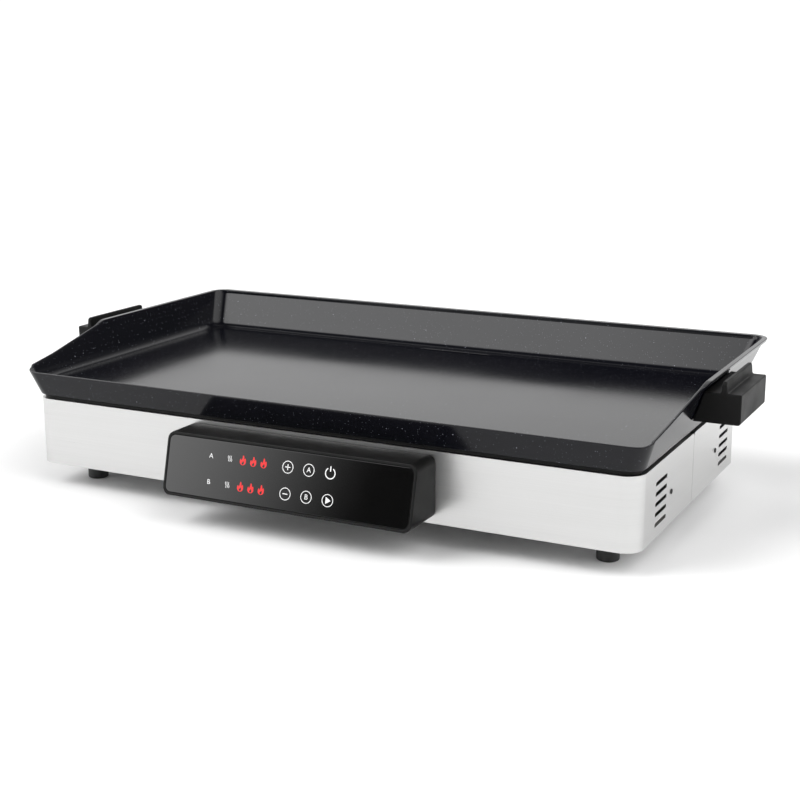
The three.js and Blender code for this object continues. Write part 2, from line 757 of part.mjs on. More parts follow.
function addHandle(side, sign) {
  const { outer, bottom, top, front, rear, finX, finTop, screwX, screwY } = HANDLE;
  const wallAt = (z) => HOUSING.halfX + PLATE.sideFlare * (z - PLATE.base) + 0.4;
  const outline = polygon(
    [
      [wallAt(bottom), bottom],
      [outer - 1.5, bottom],
      [outer, bottom + 1.5],
      [outer, top - 1.5],
      [outer - 1.5, top],
      [finX[1] + 1.5, top],
      [finX[1], top + 1.5],
      [finX[1] - 0.4, finTop - 1],
      [finX[1] - 1.4, finTop],
      [finX[0] + 1.4, finTop],
      [finX[0] + 0.4, finTop - 1],
      [finX[0], top + 1.5],
      [finX[0] - 1.5, top],
      [wallAt(top), top],
    ].map(([x, z]) => [sign * x, z]),
  );
  const pocketX = [sign * (HOUSING.halfX - 5), sign * (LUG.reach + 0.5)].sort((a, b) => a - b);
  const clear = 0.5;
  const pocket = block(
    ...pocketX,
    LUG.front - clear,
    LUG.rear + clear,
    LUG.bottom - clear,
    LUG.top + clear,
  );
  const handle = cut(
    prismAlongY(outline, front, rear),
    pocket,
    ...handleScrewHoles(sign, 1.8, bottom - 1, top - 4),
    ...handleScrewHoles(sign, 3.6, bottom - 1, bottom + 3),
  );
  place(`handle_${side}`, handle, BLACK_PLASTIC);
  const screwProfile = [
    [0, bottom + 0.8],
    [3, bottom + 0.8],
    [3, bottom + 2.7],
    [1.5, bottom + 2.7],
    [1.5, top - 5],
    [0, top - 5],
  ];
  screwY.forEach((y, index) => {
    const name = `handle_screw_${ENDS[index].end}_${side}`;
    place(name, turned(screwProfile, 12), SCREW_STEEL, sign * screwX, y);
  });
}

// ---- The whole griddle -------------------------------------------------------------------

addHousing();
addBottomPan();
addFeet();
addSideBrackets();
addInsulatingFrame();
addReflector();
addHeaters();
addElectrics();
addInlet();
addPanel();
addDripTray();
addPlate();
for (const { side, sign } of SIDES) {
  addHandle(side, sign);
}

export default griddle;
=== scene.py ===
"""Looks of an electric griddle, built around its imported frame.

A brushed steel housing on rubber feet carries a lift-off non-stick plate with two side handles.
A wedge with a black glass touch panel stands on the front, and a drip tray slides out at the
back. Everything is in metres, +Z up, with the control panel towards -Y.
"""

from __future__ import annotations

import functools
import logging
import math
from dataclasses import dataclass, field
from enum import Enum
from typing import ClassVar, Iterable, Sequence

import bmesh
import bpy
from mathutils import Matrix, Vector

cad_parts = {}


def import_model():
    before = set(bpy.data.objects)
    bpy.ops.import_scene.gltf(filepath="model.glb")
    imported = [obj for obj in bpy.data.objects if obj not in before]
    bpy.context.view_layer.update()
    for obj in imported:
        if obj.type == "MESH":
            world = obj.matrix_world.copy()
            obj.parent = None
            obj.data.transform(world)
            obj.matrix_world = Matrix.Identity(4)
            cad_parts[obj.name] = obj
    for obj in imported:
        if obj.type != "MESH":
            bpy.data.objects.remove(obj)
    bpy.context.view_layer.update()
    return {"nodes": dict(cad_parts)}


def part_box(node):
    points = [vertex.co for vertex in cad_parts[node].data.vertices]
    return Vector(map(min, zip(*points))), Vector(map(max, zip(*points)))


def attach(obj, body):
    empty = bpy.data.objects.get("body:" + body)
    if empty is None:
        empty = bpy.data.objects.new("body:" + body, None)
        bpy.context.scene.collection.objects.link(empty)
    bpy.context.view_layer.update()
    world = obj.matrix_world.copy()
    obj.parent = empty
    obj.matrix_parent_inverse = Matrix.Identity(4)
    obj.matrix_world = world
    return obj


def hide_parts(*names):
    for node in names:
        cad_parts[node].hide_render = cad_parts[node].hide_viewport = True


LOG = logging.getLogger("griddle")

MM = 0.001
SIDES = {"left": -1, "right": 1}
ENDS = {"front": -1, "rear": 1}
PLATE_NODES = ("griddle_plate", *(f"plate_wall_{way}" for way in ("front", "rear", "left", "right")))
SHARP_ANGLE = math.radians(38)
SIDE_FLARE = 0.342  # how far the plate's side walls lean out for each unit of height
OUTSIDE = 0.4  # further out than any part of the griddle
TOUCHING = 1e-5  # places this close count as one
WELD = 1e-7  # how close new vertices are when they are made one
CURVE_WELD = 1e-6  # the same, for text and tubes
NODE_WELD = 2e-6  # the same, for copies of frame nodes


class Body(Enum):
    """The moving bodies of the frame that pieces ride on."""

    BASE = "base"
    PLATE = "cooking_plate"
    TRAY = "drip_tray"


class Carving(Enum):
    """How one solid changes another."""

    CUT = "DIFFERENCE"
    JOIN = "UNION"


# ---- Finishes ----------------------------------------------------------------------------


class Recipe:
    """A material's node tree, with short ways to add the nodes that the finishes share."""

    def __init__(self, tree: bpy.types.NodeTree) -> None:
        """Takes a node tree. A material's holds its shader already."""
        self.tree = tree
        self.shader = tree.nodes.get("Principled BSDF")

    def set(self, **values: object) -> None:
        """Sets sockets of the shader, named in lower case with underscores.

        Args:
            values: Socket name to its fixed value.
        """
        sockets = {s.name.lower().replace(" ", "_"): s for s in self.shader.inputs}
        for name, value in values.items():
            sockets[name].default_value = value

    def drive(self, socket: str, source: bpy.types.NodeSocket) -> None:
        """Links a pattern to one of the shader's sockets.

        Args:
            socket: The shader socket's own name.
            source: The pattern.
        """
        self.tree.links.new(source, self.shader.inputs[socket])

    def add(self, kind: str, inputs: dict[str, object] | None = None, **settings: object):
        """Adds a node.

        Args:
            kind: The node's type, without its ShaderNode prefix.
            inputs: Input name to a value, or to the socket linked to it.
            settings: The node's own properties.

        Returns:
            The new node.
        """
        node = self.tree.nodes.new("ShaderNode" + kind)
        for name, value in settings.items():
            setattr(node, name, value)
        for name, value in (inputs or {}).items():
            if isinstance(value, bpy.types.NodeSocket):
                self.tree.links.new(value, node.inputs[name])
            else:
                node.inputs[name].default_value = value
        return node

    def coords(self, stretch: Sequence[float] = (1, 1, 1)) -> bpy.types.NodeSocket:
        """Object coordinates in metres, multiplied along each axis by stretch."""
        place = self.add("TexCoord").outputs["Object"]
        return self.add("Mapping", {"Vector": place, "Scale": stretch}).outputs["Vector"]

    def noise(self, coords: bpy.types.NodeSocket, per_metre: float, detail: float = 2.0):
        """A noise pattern from 0 to 1 with so many features per metre."""
        inputs = {"Vector": coords, "Scale": per_metre, "Detail": detail}
        return self.add("TexNoise", inputs).outputs["Fac"]

    def span(self, value: bpy.types.NodeSocket, source: tuple, target: tuple, smooth: bool = False):
        """Maps a value's source range onto a target range, and holds it inside.

        Args:
            value: The value.
            source: The range that it comes in.
            target: The range that it leaves in.
            smooth: Whether it eases in and out.

        Returns:
            The mapped value.
        """
        names = ("From Min", "From Max", "To Min", "To Max")
        inputs = {"Value": value, **dict(zip(names, (*source, *target)))}
        easing = "SMOOTHSTEP" if smooth else "LINEAR"
        return self.add("MapRange", inputs, interpolation_type=easing).outputs["Result"]

    def blend(self, share: object, first: object, second: object) -> bpy.types.NodeSocket:
        """Mixes two colours, from the first at share 0 to the second at share 1."""
        node = self.add("Mix", data_type="RGBA")
        sockets = {"Factor": node.inputs[0], "A": node.inputs[6], "B": node.inputs[7]}
        for name, value in (("Factor", share), ("A", first), ("B", second)):
            if isinstance(value, bpy.types.NodeSocket):
                self.tree.links.new(value, sockets[name])
            else:
                sockets[name].default_value = value
        return node.outputs[2]

    def math(self, operation: str, first: object, second: object) -> bpy.types.NodeSocket:
        """One arithmetic step on two values."""
        node = self.add("Math", operation=operation)
        for socket, value in zip(node.inputs, (first, second)):
            if isinstance(value, bpy.types.NodeSocket):
                self.tree.links.new(value, socket)
            else:
                socket.default_value = value
        return node.outputs[0]

    def bump(self, height: bpy.types.NodeSocket, depth: float) -> None:
        """Raises the surface by up to depth metres where height is 1."""
        node = self.add("Bump", {"Height": height, "Distance": depth, "Strength": 1.0})
        self.drive("Normal", node.outputs["Normal"])


def gray(level: float, alpha: float = 1.0) -> tuple[float, float, float, float]:
    """A neutral colour of one linear level."""
    return (level, level, level, alpha)


@dataclass(frozen=True)
class Finish:
    """A surface finish, and the record's material slot that it belongs to."""

    slot: ClassVar[str] = ""

    @functools.cache
    def material(self) -> bpy.types.Material:
        """The finish's material, made once."""
        material = bpy.data.materials.new(type(self).__name__)
        material.use_nodes = True
        self.mix(Recipe(material.node_tree))
        return material

    def mix(self, recipe: Recipe) -> None:
        """Fills the recipe. Each finish has its own."""
        raise NotImplementedError


@dataclass(frozen=True)
class BrushedSteel(Finish):
    """Stainless sheet brushed along its length, with faint long streaks."""

    slot: ClassVar[str] = "brushed_steel"
    level: float = 0.645
    roughness: float = 0.3
    grooves: float = 1500.0
    depth: float = 0.012 * MM

    def mix(self, recipe: Recipe) -> None:
        """Stretches fine noise along the brushing, for colour, gloss and grooves."""
        along = recipe.coords((0.006, 0.006, 1.0))
        grain = recipe.noise(along, self.grooves, 3.0)
        streak = recipe.noise(recipe.coords((0.02, 0.02, 1.0)), 160.0, 2.0)
        cloud = recipe.noise(recipe.coords(), 5.0, 2.0)
        dark = (self.level * 0.9, self.level * 0.9, self.level * 0.89, 1)
        light = (self.level * 1.05, self.level * 1.05, self.level * 1.045, 1)
        fine = recipe.math("MULTIPLY", grain, 0.6)
        broad = recipe.math("MULTIPLY", streak, 0.4)
        shade = recipe.math("ADD", fine, broad)
        recipe.drive("Base Color", recipe.blend(shade, dark, light))
        rough = recipe.math("ADD", shade, recipe.math("MULTIPLY", cloud, 0.5))
        low, high = self.roughness * 0.8, self.roughness * 1.25
        recipe.drive("Roughness", recipe.span(rough, (0.3, 1.2), (low, high)))
        recipe.set(metallic=1.0, anisotropic=0.6)
        tangent = recipe.add("Tangent", direction_type="RADIAL", axis="Z")
        recipe.drive("Tangent", tangent.outputs["Tangent"])
        recipe.bump(grain, self.depth)


@dataclass(frozen=True)
class BrightSheet(Finish):
    """Aluminised sheet with a soft mottled spangle and light marks from forming."""

    slot: ClassVar[str] = "bright_sheet"
    level: float = 0.42
    roughness: float = 0.4

    def mix(self, recipe: Recipe) -> None:
        """Mottles the metal's shade and gloss with cells and cloud."""
        cell = recipe.add("TexVoronoi", {"Vector": recipe.coords(), "Scale": 190.0})
        spangle = recipe.span(cell.outputs["Distance"], (0.0, 0.7), (0.0, 1.0))
        cloud = recipe.noise(recipe.coords(), 26.0, 4.0)
        mottle = recipe.math("ADD", recipe.math("MULTIPLY", spangle, 0.4), cloud)
        dark, light = gray(self.level * 0.84), gray(self.level * 1.06)
        recipe.drive("Base Color", recipe.blend(recipe.span(mottle, (0.4, 1.0), (0, 1)), dark, light))
        spread = (self.roughness * 0.8, self.roughness * 1.3)
        recipe.drive("Roughness", recipe.span(cloud, (0.3, 0.7), spread))
        recipe.set(metallic=1.0)
        recipe.bump(cloud, 0.05 * MM)


@dataclass(frozen=True)
class NonstickCoating(Finish):
    """Satin black coating on die-cast metal, with pale mineral specks."""

    slot: ClassVar[str] = "nonstick_coating"
    color: tuple = (0.0034, 0.0036, 0.0056, 1)
    speck_color: tuple = (0.27, 0.28, 0.32, 1)
    roughness: float = 0.14
    speck_spacing: float = 5.0 * MM
    speck_radius: float = 0.5 * MM
    dust_spacing: float = 1.7 * MM
    dust_radius: float = 0.33 * MM

    def specks(self, recipe: Recipe, spacing: float, radius: float, share: float):
        """Scatters round specks over the surface.

        Args:
            recipe: The material being mixed.
            spacing: Mean distance between specks.
            radius: A full speck's radius.
            share: How many of the places hold a speck, from 0 to 1.

        Returns:
            1 on a speck and 0 off it.
        """
        inputs = {"Vector": recipe.coords(), "Scale": 1.0 / spacing}
        cells = recipe.add("TexVoronoi", inputs)
        pick = recipe.add("SeparateColor", {"Color": cells.outputs["Color"]})
        kept = recipe.span(pick.outputs["Red"], (1 - share, 1.0), (0.0, 1.0))
        size = recipe.math("MULTIPLY", kept, radius / spacing)
        edge = recipe.math("SUBTRACT", size, cells.outputs["Distance"])
        return recipe.span(edge, (0.0, 0.25 * radius / spacing), (0.0, 1.0))

    def mix(self, recipe: Recipe) -> None:
        """Lays specks and dust over black, with a faint orange peel."""
        speck = self.specks(recipe, self.speck_spacing, self.speck_radius, 0.75)
        dust = self.specks(recipe, self.dust_spacing, self.dust_radius, 0.8)
        dust = recipe.math("MULTIPLY", dust, 0.5)
        pale = recipe.math("MAXIMUM", speck, dust)
        recipe.drive("Base Color", recipe.blend(pale, self.color, self.speck_color))
        peel = recipe.noise(recipe.coords(), 420.0, 2.0)
        cloud = recipe.noise(recipe.coords(), 9.0, 3.0)
        spread = (self.roughness * 0.88, self.roughness * 1.14)
        recipe.drive("Roughness", recipe.span(cloud, (0.3, 0.7), spread))
        recipe.set(ior=1.34)
        recipe.bump(peel, 0.004 * MM)


@dataclass(frozen=True)
class MouldedPlastic(Finish):
    """Black moulded plastic with a fine spark-eroded texture."""

    slot: ClassVar[str] = "black_plastic"
    level: float = 0.005
    roughness: float = 0.5
    depth: float = 0.02 * MM

    def mix(self, recipe: Recipe) -> None:
        """Breaks up the gloss with fine grain and a soft cloud."""
        grain = recipe.noise(recipe.coords(), 2400.0, 2.0)
        cloud = recipe.noise(recipe.coords(), 30.0, 3.0)
        dark, light = gray(self.level * 0.85), gray(self.level * 1.3)
        recipe.drive("Base Color", recipe.blend(grain, dark, light))
        spread = (self.roughness * 0.88, self.roughness * 1.14)
        recipe.drive("Roughness", recipe.span(cloud, (0.3, 0.7), spread))
        recipe.set(ior=1.4, specular_ior_level=0.2)
        recipe.bump(grain, self.depth)


@dataclass(frozen=True)
class PanelGlass(Finish):
    """Polished glass, printed black from behind."""

    slot: ClassVar[str] = "panel_glass"

    def mix(self, recipe: Recipe) -> None:
        """Keeps the polish nearly even, with a trace of wiping marks."""
        smear = recipe.noise(recipe.coords((1.0, 1.0, 0.4)), 45.0, 4.0)
        recipe.drive("Roughness", recipe.span(smear, (0.3, 0.75), (0.03, 0.055)))
        recipe.drive("Base Color", recipe.blend(smear, gray(0.0016), gray(0.0026)))
        recipe.set(ior=1.47)


@dataclass(frozen=True)
class FootRubber(Finish):
    """Matt black rubber with a dusty bloom."""

    slot: ClassVar[str] = "foot_rubber"

    def mix(self, recipe: Recipe) -> None:
        """Mottles black with a faint grey bloom."""
        bloom = recipe.noise(recipe.coords(), 260.0, 4.0)
        recipe.drive("Base Color", recipe.blend(bloom, gray(0.006), gray(0.016)))
        recipe.drive("Roughness", recipe.span(bloom, (0.3, 0.7), (0.5, 0.66)))
        recipe.bump(bloom, 0.03 * MM)


@dataclass(frozen=True)
class HeaterSheath(Finish):
    """Heat-darkened metal sheath with bands of straw and blue."""

    slot: ClassVar[str] = "heater_sheath"

    def mix(self, recipe: Recipe) -> None:
        """Blends dull grey with straw and blue temper colours."""
        cloud = recipe.noise(recipe.coords(), 34.0, 3.0)
        grain = recipe.noise(recipe.coords(), 900.0, 2.0)
        temper = recipe.blend(cloud, (0.19, 0.15, 0.1, 1), (0.1, 0.11, 0.14, 1))
        recipe.drive("Base Color", recipe.blend(grain, temper, gray(0.12)))
        recipe.set(metallic=0.85, roughness=0.5)
        recipe.bump(grain, 0.02 * MM)


@dataclass(frozen=True)
class ZincScrew(Finish):
    """Bright zinc plating, turned marks and a slight yellow cast."""

    slot: ClassVar[str] = "screw_steel"

    def mix(self, recipe: Recipe) -> None:
        """Varies plating shade and gloss."""
        cloud = recipe.noise(recipe.coords(), 300.0, 3.0)
        recipe.drive("Base Color", recipe.blend(cloud, (0.52, 0.51, 0.47, 1), gray(0.68)))
        recipe.drive("Roughness", recipe.span(cloud, (0.3, 0.7), (0.22, 0.4)))
        recipe.set(metallic=1.0)


@dataclass(frozen=True)
class BlackScrew(Finish):
    """Blackened steel, oily in the hollows."""

    slot: ClassVar[str] = "black_screw"

    def mix(self, recipe: Recipe) -> None:
        """Varies a dark metal's gloss."""
        cloud = recipe.noise(recipe.coords(), 420.0, 3.0)
        recipe.drive("Base Color", recipe.blend(cloud, gray(0.012), gray(0.035)))
        recipe.drive("Roughness", recipe.span(cloud, (0.3, 0.7), (0.3, 0.5)))
        recipe.set(metallic=0.6)


@dataclass(frozen=True)
class BoardLacquer(Finish):
    """Green board lacquer over copper tracks."""

    slot: ClassVar[str] = "circuit_board"

    def mix(self, recipe: Recipe) -> None:
        """Shows straight tracks as lighter bands under the lacquer."""
        brick = recipe.add("TexBrick", {"Vector": recipe.coords(), "Scale": 90.0})
        track = brick.outputs["Fac"]
        recipe.drive("Base Color", recipe.blend(track, (0.008, 0.06, 0.022, 1), (0.03, 0.16, 0.05, 1)))
        recipe.set(roughness=0.32)
        recipe.bump(track, 0.03 * MM)


@dataclass(frozen=True)
class RelayCase(Finish):
    """Smooth blue relay case."""

    slot: ClassVar[str] = "relay_case"

    def mix(self, recipe: Recipe) -> None:
        """Keeps a light mould texture in the blue."""
        grain = recipe.noise(recipe.coords(), 700.0, 2.0)
        recipe.drive("Base Color", recipe.blend(grain, (0.014, 0.04, 0.17, 1), (0.02, 0.055, 0.22, 1)))
        recipe.set(roughness=0.34)


@dataclass(frozen=True)
class Ceramic(Finish):
    """Unglazed white ceramic."""

    slot: ClassVar[str] = "ceramic"

    def mix(self, recipe: Recipe) -> None:
        """Pits and mottles the white body."""
        pits = recipe.noise(recipe.coords(), 1300.0, 3.0)
        recipe.drive("Base Color", recipe.blend(pits, (0.6, 0.56, 0.49, 1), (0.78, 0.75, 0.7, 1)))
        recipe.set(roughness=0.7)
        recipe.bump(pits, 0.05 * MM)


@dataclass(frozen=True)
class BraidedSleeve(Finish):
    """Glass-fibre braid over the internal leads."""

    slot: ClassVar[str] = "wire_sleeve"

    def mix(self, recipe: Recipe) -> None:
        """Crosses two fine waves into a braid."""
        coords = recipe.coords()
        settings = {"wave_type": "BANDS", "bands_direction": "DIAGONAL"}
        wave = recipe.add("TexWave", {"Vector": coords, "Scale": 320.0}, **settings)
        fibre = recipe.noise(coords, 3000.0, 2.0)
        weave = recipe.math("MULTIPLY", wave.outputs["Fac"], fibre)
        recipe.drive("Base Color", recipe.blend(weave, (0.3, 0.27, 0.22, 1), (0.7, 0.67, 0.6, 1)))
        recipe.set(roughness=0.8)
        recipe.bump(weave, 0.15 * MM)


@dataclass(frozen=True)
class PrintedInk(Finish):
    """White printing seen through the glass."""

    slot: ClassVar[str] = "panel_glass"
    glow: float = 0.35

    def mix(self, recipe: Recipe) -> None:
        """Lights the white a little from behind, less evenly than paint."""
        cloud = recipe.noise(recipe.coords(), 900.0, 2.0)
        tint = recipe.blend(cloud, gray(0.6), gray(0.68))
        recipe.drive("Base Color", tint)
        recipe.drive("Emission Color", tint)
        recipe.set(roughness=0.4, emission_strength=self.glow)


@dataclass(frozen=True)
class LitFlame(Finish):
    """Red symbol lit from behind."""

    slot: ClassVar[str] = "panel_glass"
    glow: float = 0.95

    def mix(self, recipe: Recipe) -> None:
        """Makes the red glow, a little stronger in patches."""
        cloud = recipe.noise(recipe.coords(), 500.0, 2.0)
        light = recipe.blend(cloud, (0.9, 0.003, 0.006, 1), (1.0, 0.008, 0.01, 1))
        pigment = recipe.blend(cloud, (0.05, 0.001, 0.001, 1), (0.08, 0.001, 0.001, 1))
        recipe.drive("Emission Color", light)
        recipe.drive("Base Color", pigment)
        recipe.set(roughness=0.2, emission_strength=self.glow)


@dataclass(frozen=True)
class PaleFloor(Finish):
    """Matt white studio floor."""

    def mix(self, recipe: Recipe) -> None:
        """Keeps the white almost even."""
        cloud = recipe.noise(recipe.coords(), 2.0, 2.0)
        recipe.drive("Base Color", recipe.blend(cloud, gray(0.9), gray(0.93)))
        recipe.set(roughness=0.9, specular_ior_level=0.1)


# ---- Solids ------------------------------------------------------------------------------


class Solid:
    """A closed mesh being shaped in its own bmesh, before it becomes a piece."""

    def __init__(self) -> None:
        """Starts empty."""
        self.bm = bmesh.new()

    @classmethod
    def slab(
        cls,
        low: Iterable[float],
        high: Iterable[float],
        radius: float = 0.0,
        steps: int = 8,
    ) -> Solid:
        """A plate whose corners are rounded as seen from above.

        Args:
            low: Its lowest corner.
            high: Its highest corner.
            radius: The radius of its four upright edges.
            steps: The segments of each rounded edge.

        Returns:
            The solid.
        """
        low, high = Vector(low), Vector(high)
        solid = cls()
        grid = bmesh.ops.create_grid(solid.bm, x_segments=1, y_segments=1, size=0.5)
        size = high - low
        middle = (low + high) / 2
        bmesh.ops.scale(solid.bm, vec=(size.x, size.y, 1), verts=grid["verts"])
        bmesh.ops.translate(solid.bm, vec=(middle.x, middle.y, low.z), verts=grid["verts"])
        if radius > 0:
            solid.round_corners(solid.bm.verts, radius, steps)
        return solid.raised((0, 0, size.z))

    @classmethod
    def drawn(cls, points: Iterable[Sequence[float]], depth: float) -> Solid:
        """A flat outline in X and Y, raised to a depth."""
        solid = cls()
        solid.bm.faces.new([solid.bm.verts.new((x, y, 0)) for x, y in points])
        return solid.raised((0, 0, depth))

    @classmethod
    def turned(
        cls,
        profile: Sequence[Sequence[float]],
        steps: int = 40,
        angle: float = math.tau,
    ) -> Solid:
        """A profile of radius and height points, spun about Z.

        Args:
            profile: The points. They close on themselves, or start and end on the axis.
            steps: The segments of a full turn.
            angle: How far it turns.

        Returns:
            The solid.
        """
        solid = cls()
        bm = solid.bm
        verts = [bm.verts.new((radius, 0, z)) for radius, z in profile]
        pairs = list(zip(verts, verts[1:]))
        if profile[0][0] > 0:
            pairs.append((verts[-1], verts[0]))
        edges = [bm.edges.new(pair) for pair in pairs]
        whole = angle >= math.tau
        start = bmesh.ops.contextual_create(bm, geom=edges)["faces"] if not whole else []
        bmesh.ops.spin(
            bm,
            geom=start or verts + edges,
            axis=(0, 0, 1),
            cent=(0, 0, 0),
            angle=angle,
            steps=steps,
            use_merge=whole,
        )
        bmesh.ops.remove_doubles(bm, verts=bm.verts, dist=WELD)
        return solid

    @classmethod
    def plug(cls, radius: float, depth: float, axis: str, steps: int = 24) -> Solid:
        """A round cutter that reaches a depth both ways from the origin.

        Args:
            radius: Its radius.
            depth: How far it reaches each way.
            axis: The axis, X or Y, that it is turned about by a quarter from lying along Z.
            steps: The segments of its round side.

        Returns:
            The solid.
        """
        profile = [(0, -depth), (radius, -depth), (radius, depth), (0, depth)]
        return cls.turned(profile, steps).moved(Matrix.Rotation(math.pi / 2, 4, axis))

    @classmethod
    def of_node(cls, node: bpy.types.Object) -> Solid:
        """A merged copy of a frame node, with its flat stretches made single faces."""
        solid = cls()
        bm = solid.bm
        bm.from_mesh(node.data)
        bmesh.ops.remove_doubles(bm, verts=bm.verts, dist=NODE_WELD)
        flat = math.radians(0.6)
        bmesh.ops.dissolve_limit(bm, angle_limit=flat, verts=bm.verts, edges=bm.edges)
        return solid

    def round_corners(self, verts: Iterable[bmesh.types.BMVert], radius: float, steps: int) -> None:
        """Rounds corners of a flat outline."""
        bmesh.ops.bevel(
            self.bm,
            geom=list(verts),
            offset=radius,
            offset_type="OFFSET",
            segments=steps,
            profile=0.5,
            affect="VERTICES",
            material=-1,
        )

    def raised(self, direction: Sequence[float]) -> Solid:
        """Raises every face by a direction into a closed solid."""
        made = bmesh.ops.extrude_face_region(self.bm, geom=list(self.bm.faces), use_keep_orig=True)
        verts = [item for item in made["geom"] if isinstance(item, bmesh.types.BMVert)]
        bmesh.ops.translate(self.bm, vec=direction, verts=verts)
        return self

    def moved(self, matrix: Matrix) -> Solid:
        """Moves everything by a matrix."""
        bmesh.ops.transform(self.bm, matrix=matrix, verts=self.bm.verts)
        return self

    def shifted(self, x: float = 0.0, y: float = 0.0, z: float = 0.0) -> Solid:
        """Moves everything along the axes."""
        return self.moved(Matrix.Translation((x, y, z)))

    def with_solid(self, other: Solid) -> Solid:
        """Takes in another solid that stands beside this one."""
        mesh = bpy.data.meshes.new("passing")
        other.bm.to_mesh(mesh)
        self.bm.from_mesh(mesh)
        bpy.data.meshes.remove(mesh)
        return self

    def cut_off(self, point: Vector, normal: Vector) -> list[bmesh.types.BMFace]:
        """Cuts off what lies beyond a plane and closes the cut.

        Args:
            point: A point on the plane.
            normal: The side that goes.

        Returns:
            The faces that close the cut.
        """
        geom = [*self.bm.verts, *self.bm.edges, *self.bm.faces]
        made = bmesh.ops.bisect_plane(
            self.bm, geom=geom, dist=WELD, plane_co=point, plane_no=normal, clear_outer=True
        )
        edges = [item for item in made["geom_cut"] if isinstance(item, bmesh.types.BMEdge)]
        return bmesh.ops.contextual_create(self.bm, geom=edges)["faces"]

    def piece(self, name: str) -> bpy.types.Object:
        """Makes the solid an object at the origin, with its faces outwards."""
        bmesh.ops.recalc_face_normals(self.bm, faces=self.bm.faces)
        mesh = bpy.data.meshes.new(name)
        self.bm.to_mesh(mesh)
        self.bm.free()
        obj = bpy.data.objects.new(name, mesh)
        bpy.context.scene.collection.objects.link(obj)
        return obj


def apply_modifiers(obj: bpy.types.Object) -> None:
    """Makes the object's modified mesh its own mesh."""
    graph = bpy.context.evaluated_depsgraph_get()
    mesh = bpy.data.meshes.new_from_object(obj.evaluated_get(graph), depsgraph=graph)
    old = obj.data
    obj.modifiers.clear()
    obj.data = mesh
    mesh.name = obj.name
    bpy.data.meshes.remove(old)


def carve(target: bpy.types.Object, tool: Solid, how: Carving = Carving.CUT) -> None:
    """Cuts a solid out of an object, or joins it on.

    Args:
        target: The object that changes.
        tool: The solid. It is used up.
        how: Whether it is cut or joined.
    """
    cutter = tool.piece("carving_tool")
    modifier = target.modifiers.new("carve", "BOOLEAN")
    modifier.operation = how.value
    modifier.object = cutter
    modifier.solver = "EXACT"
    apply_modifiers(target)
    mesh = cutter.data
    bpy.data.objects.remove(cutter)
    bpy.data.meshes.remove(mesh)


def soften(obj: bpy.types.Object, width: float, segments: int = 2) -> None:
    """Rounds an object's hard edges, and shades its flat faces flat.

    Args:
        obj: The object.
        width: The width of each rounded edge, or 0 for shading only.
        segments: The segments across it.
    """
    if width > 0:
        modifier = obj.modifiers.new("edges", "BEVEL")
        modifier.width = width
        modifier.segments = segments
        modifier.limit_method = "ANGLE"
        modifier.angle_limit = SHARP_ANGLE
        modifier.use_clamp_overlap = True
        apply_modifiers(obj)
    obj.data.shade_smooth()
    obj.data.set_sharp_from_angle(angle=SHARP_ANGLE)
    weighted = obj.modifiers.new("shading", "WEIGHTED_NORMAL")
    weighted.keep_sharp = True
    apply_modifiers(obj)


def dress(obj: bpy.types.Object, finish: Finish, body: Body, nodes: Sequence[str] = ()) -> None:
    """Gives a shaped object its finish and its place in the frame.

    Args:
        obj: The object.
        finish: Its finish.
        body: The body that it rides on.
        nodes: The frame nodes that it stands for.
    """
    obj.data.materials.clear()
    obj.data.materials.append(finish.material())
    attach(obj, body.value)
    if nodes:
        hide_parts(*nodes)
    LOG.info("%s: %d faces, on %s", obj.name, len(obj.data.polygons), body.value)


def tube_mesh(name: str, points: Sequence[Vector], radius: float, sides: int) -> bpy.types.Object:
    """A round tube along points, closed at both ends.

    Args:
        name: The piece's name.
        points: The centre line, close enough together to be smooth.
        radius: The tube's radius.
        sides: How many sides it has.

    Returns:
        The object.
    """
    curve = bpy.data.curves.new(name, "CURVE")
    curve.dimensions = "3D"
    curve.bevel_depth = radius
    curve.bevel_resolution = sides // 4
    curve.use_fill_caps = True
    spline = curve.splines.new("POLY")
    spline.points.add(len(points) - 1)
    for place, point in zip(spline.points, points):
        place.co = (*point, 1.0)
    return mesh_of_curve(name, curve, Matrix.Identity(4))


def mesh_of_curve(name: str, curve: bpy.types.Curve, matrix: Matrix) -> bpy.types.Object:
    """Makes a curve or text a mesh object, placed in its mesh."""
    holder = bpy.data.objects.new(name + ".curve", curve)
    bpy.context.scene.collection.objects.link(holder)
    graph = bpy.context.evaluated_depsgraph_get()
    source = bpy.data.meshes.new_from_object(holder.evaluated_get(graph))
    bpy.data.objects.remove(holder)
    solid = Solid()
    solid.bm.from_mesh(source)
    bpy.data.meshes.remove(source)
    bmesh.ops.remove_doubles(solid.bm, verts=solid.bm.verts, dist=CURVE_WELD)
    return solid.moved(matrix).piece(name)


def housing_middle_y() -> float:
    """Where the middle of the steel housing is, front to rear."""
    return (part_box("front_shell")[0].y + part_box("rear_shell")[1].y) / 2


# ---- Housing -----------------------------------------------------------------------------


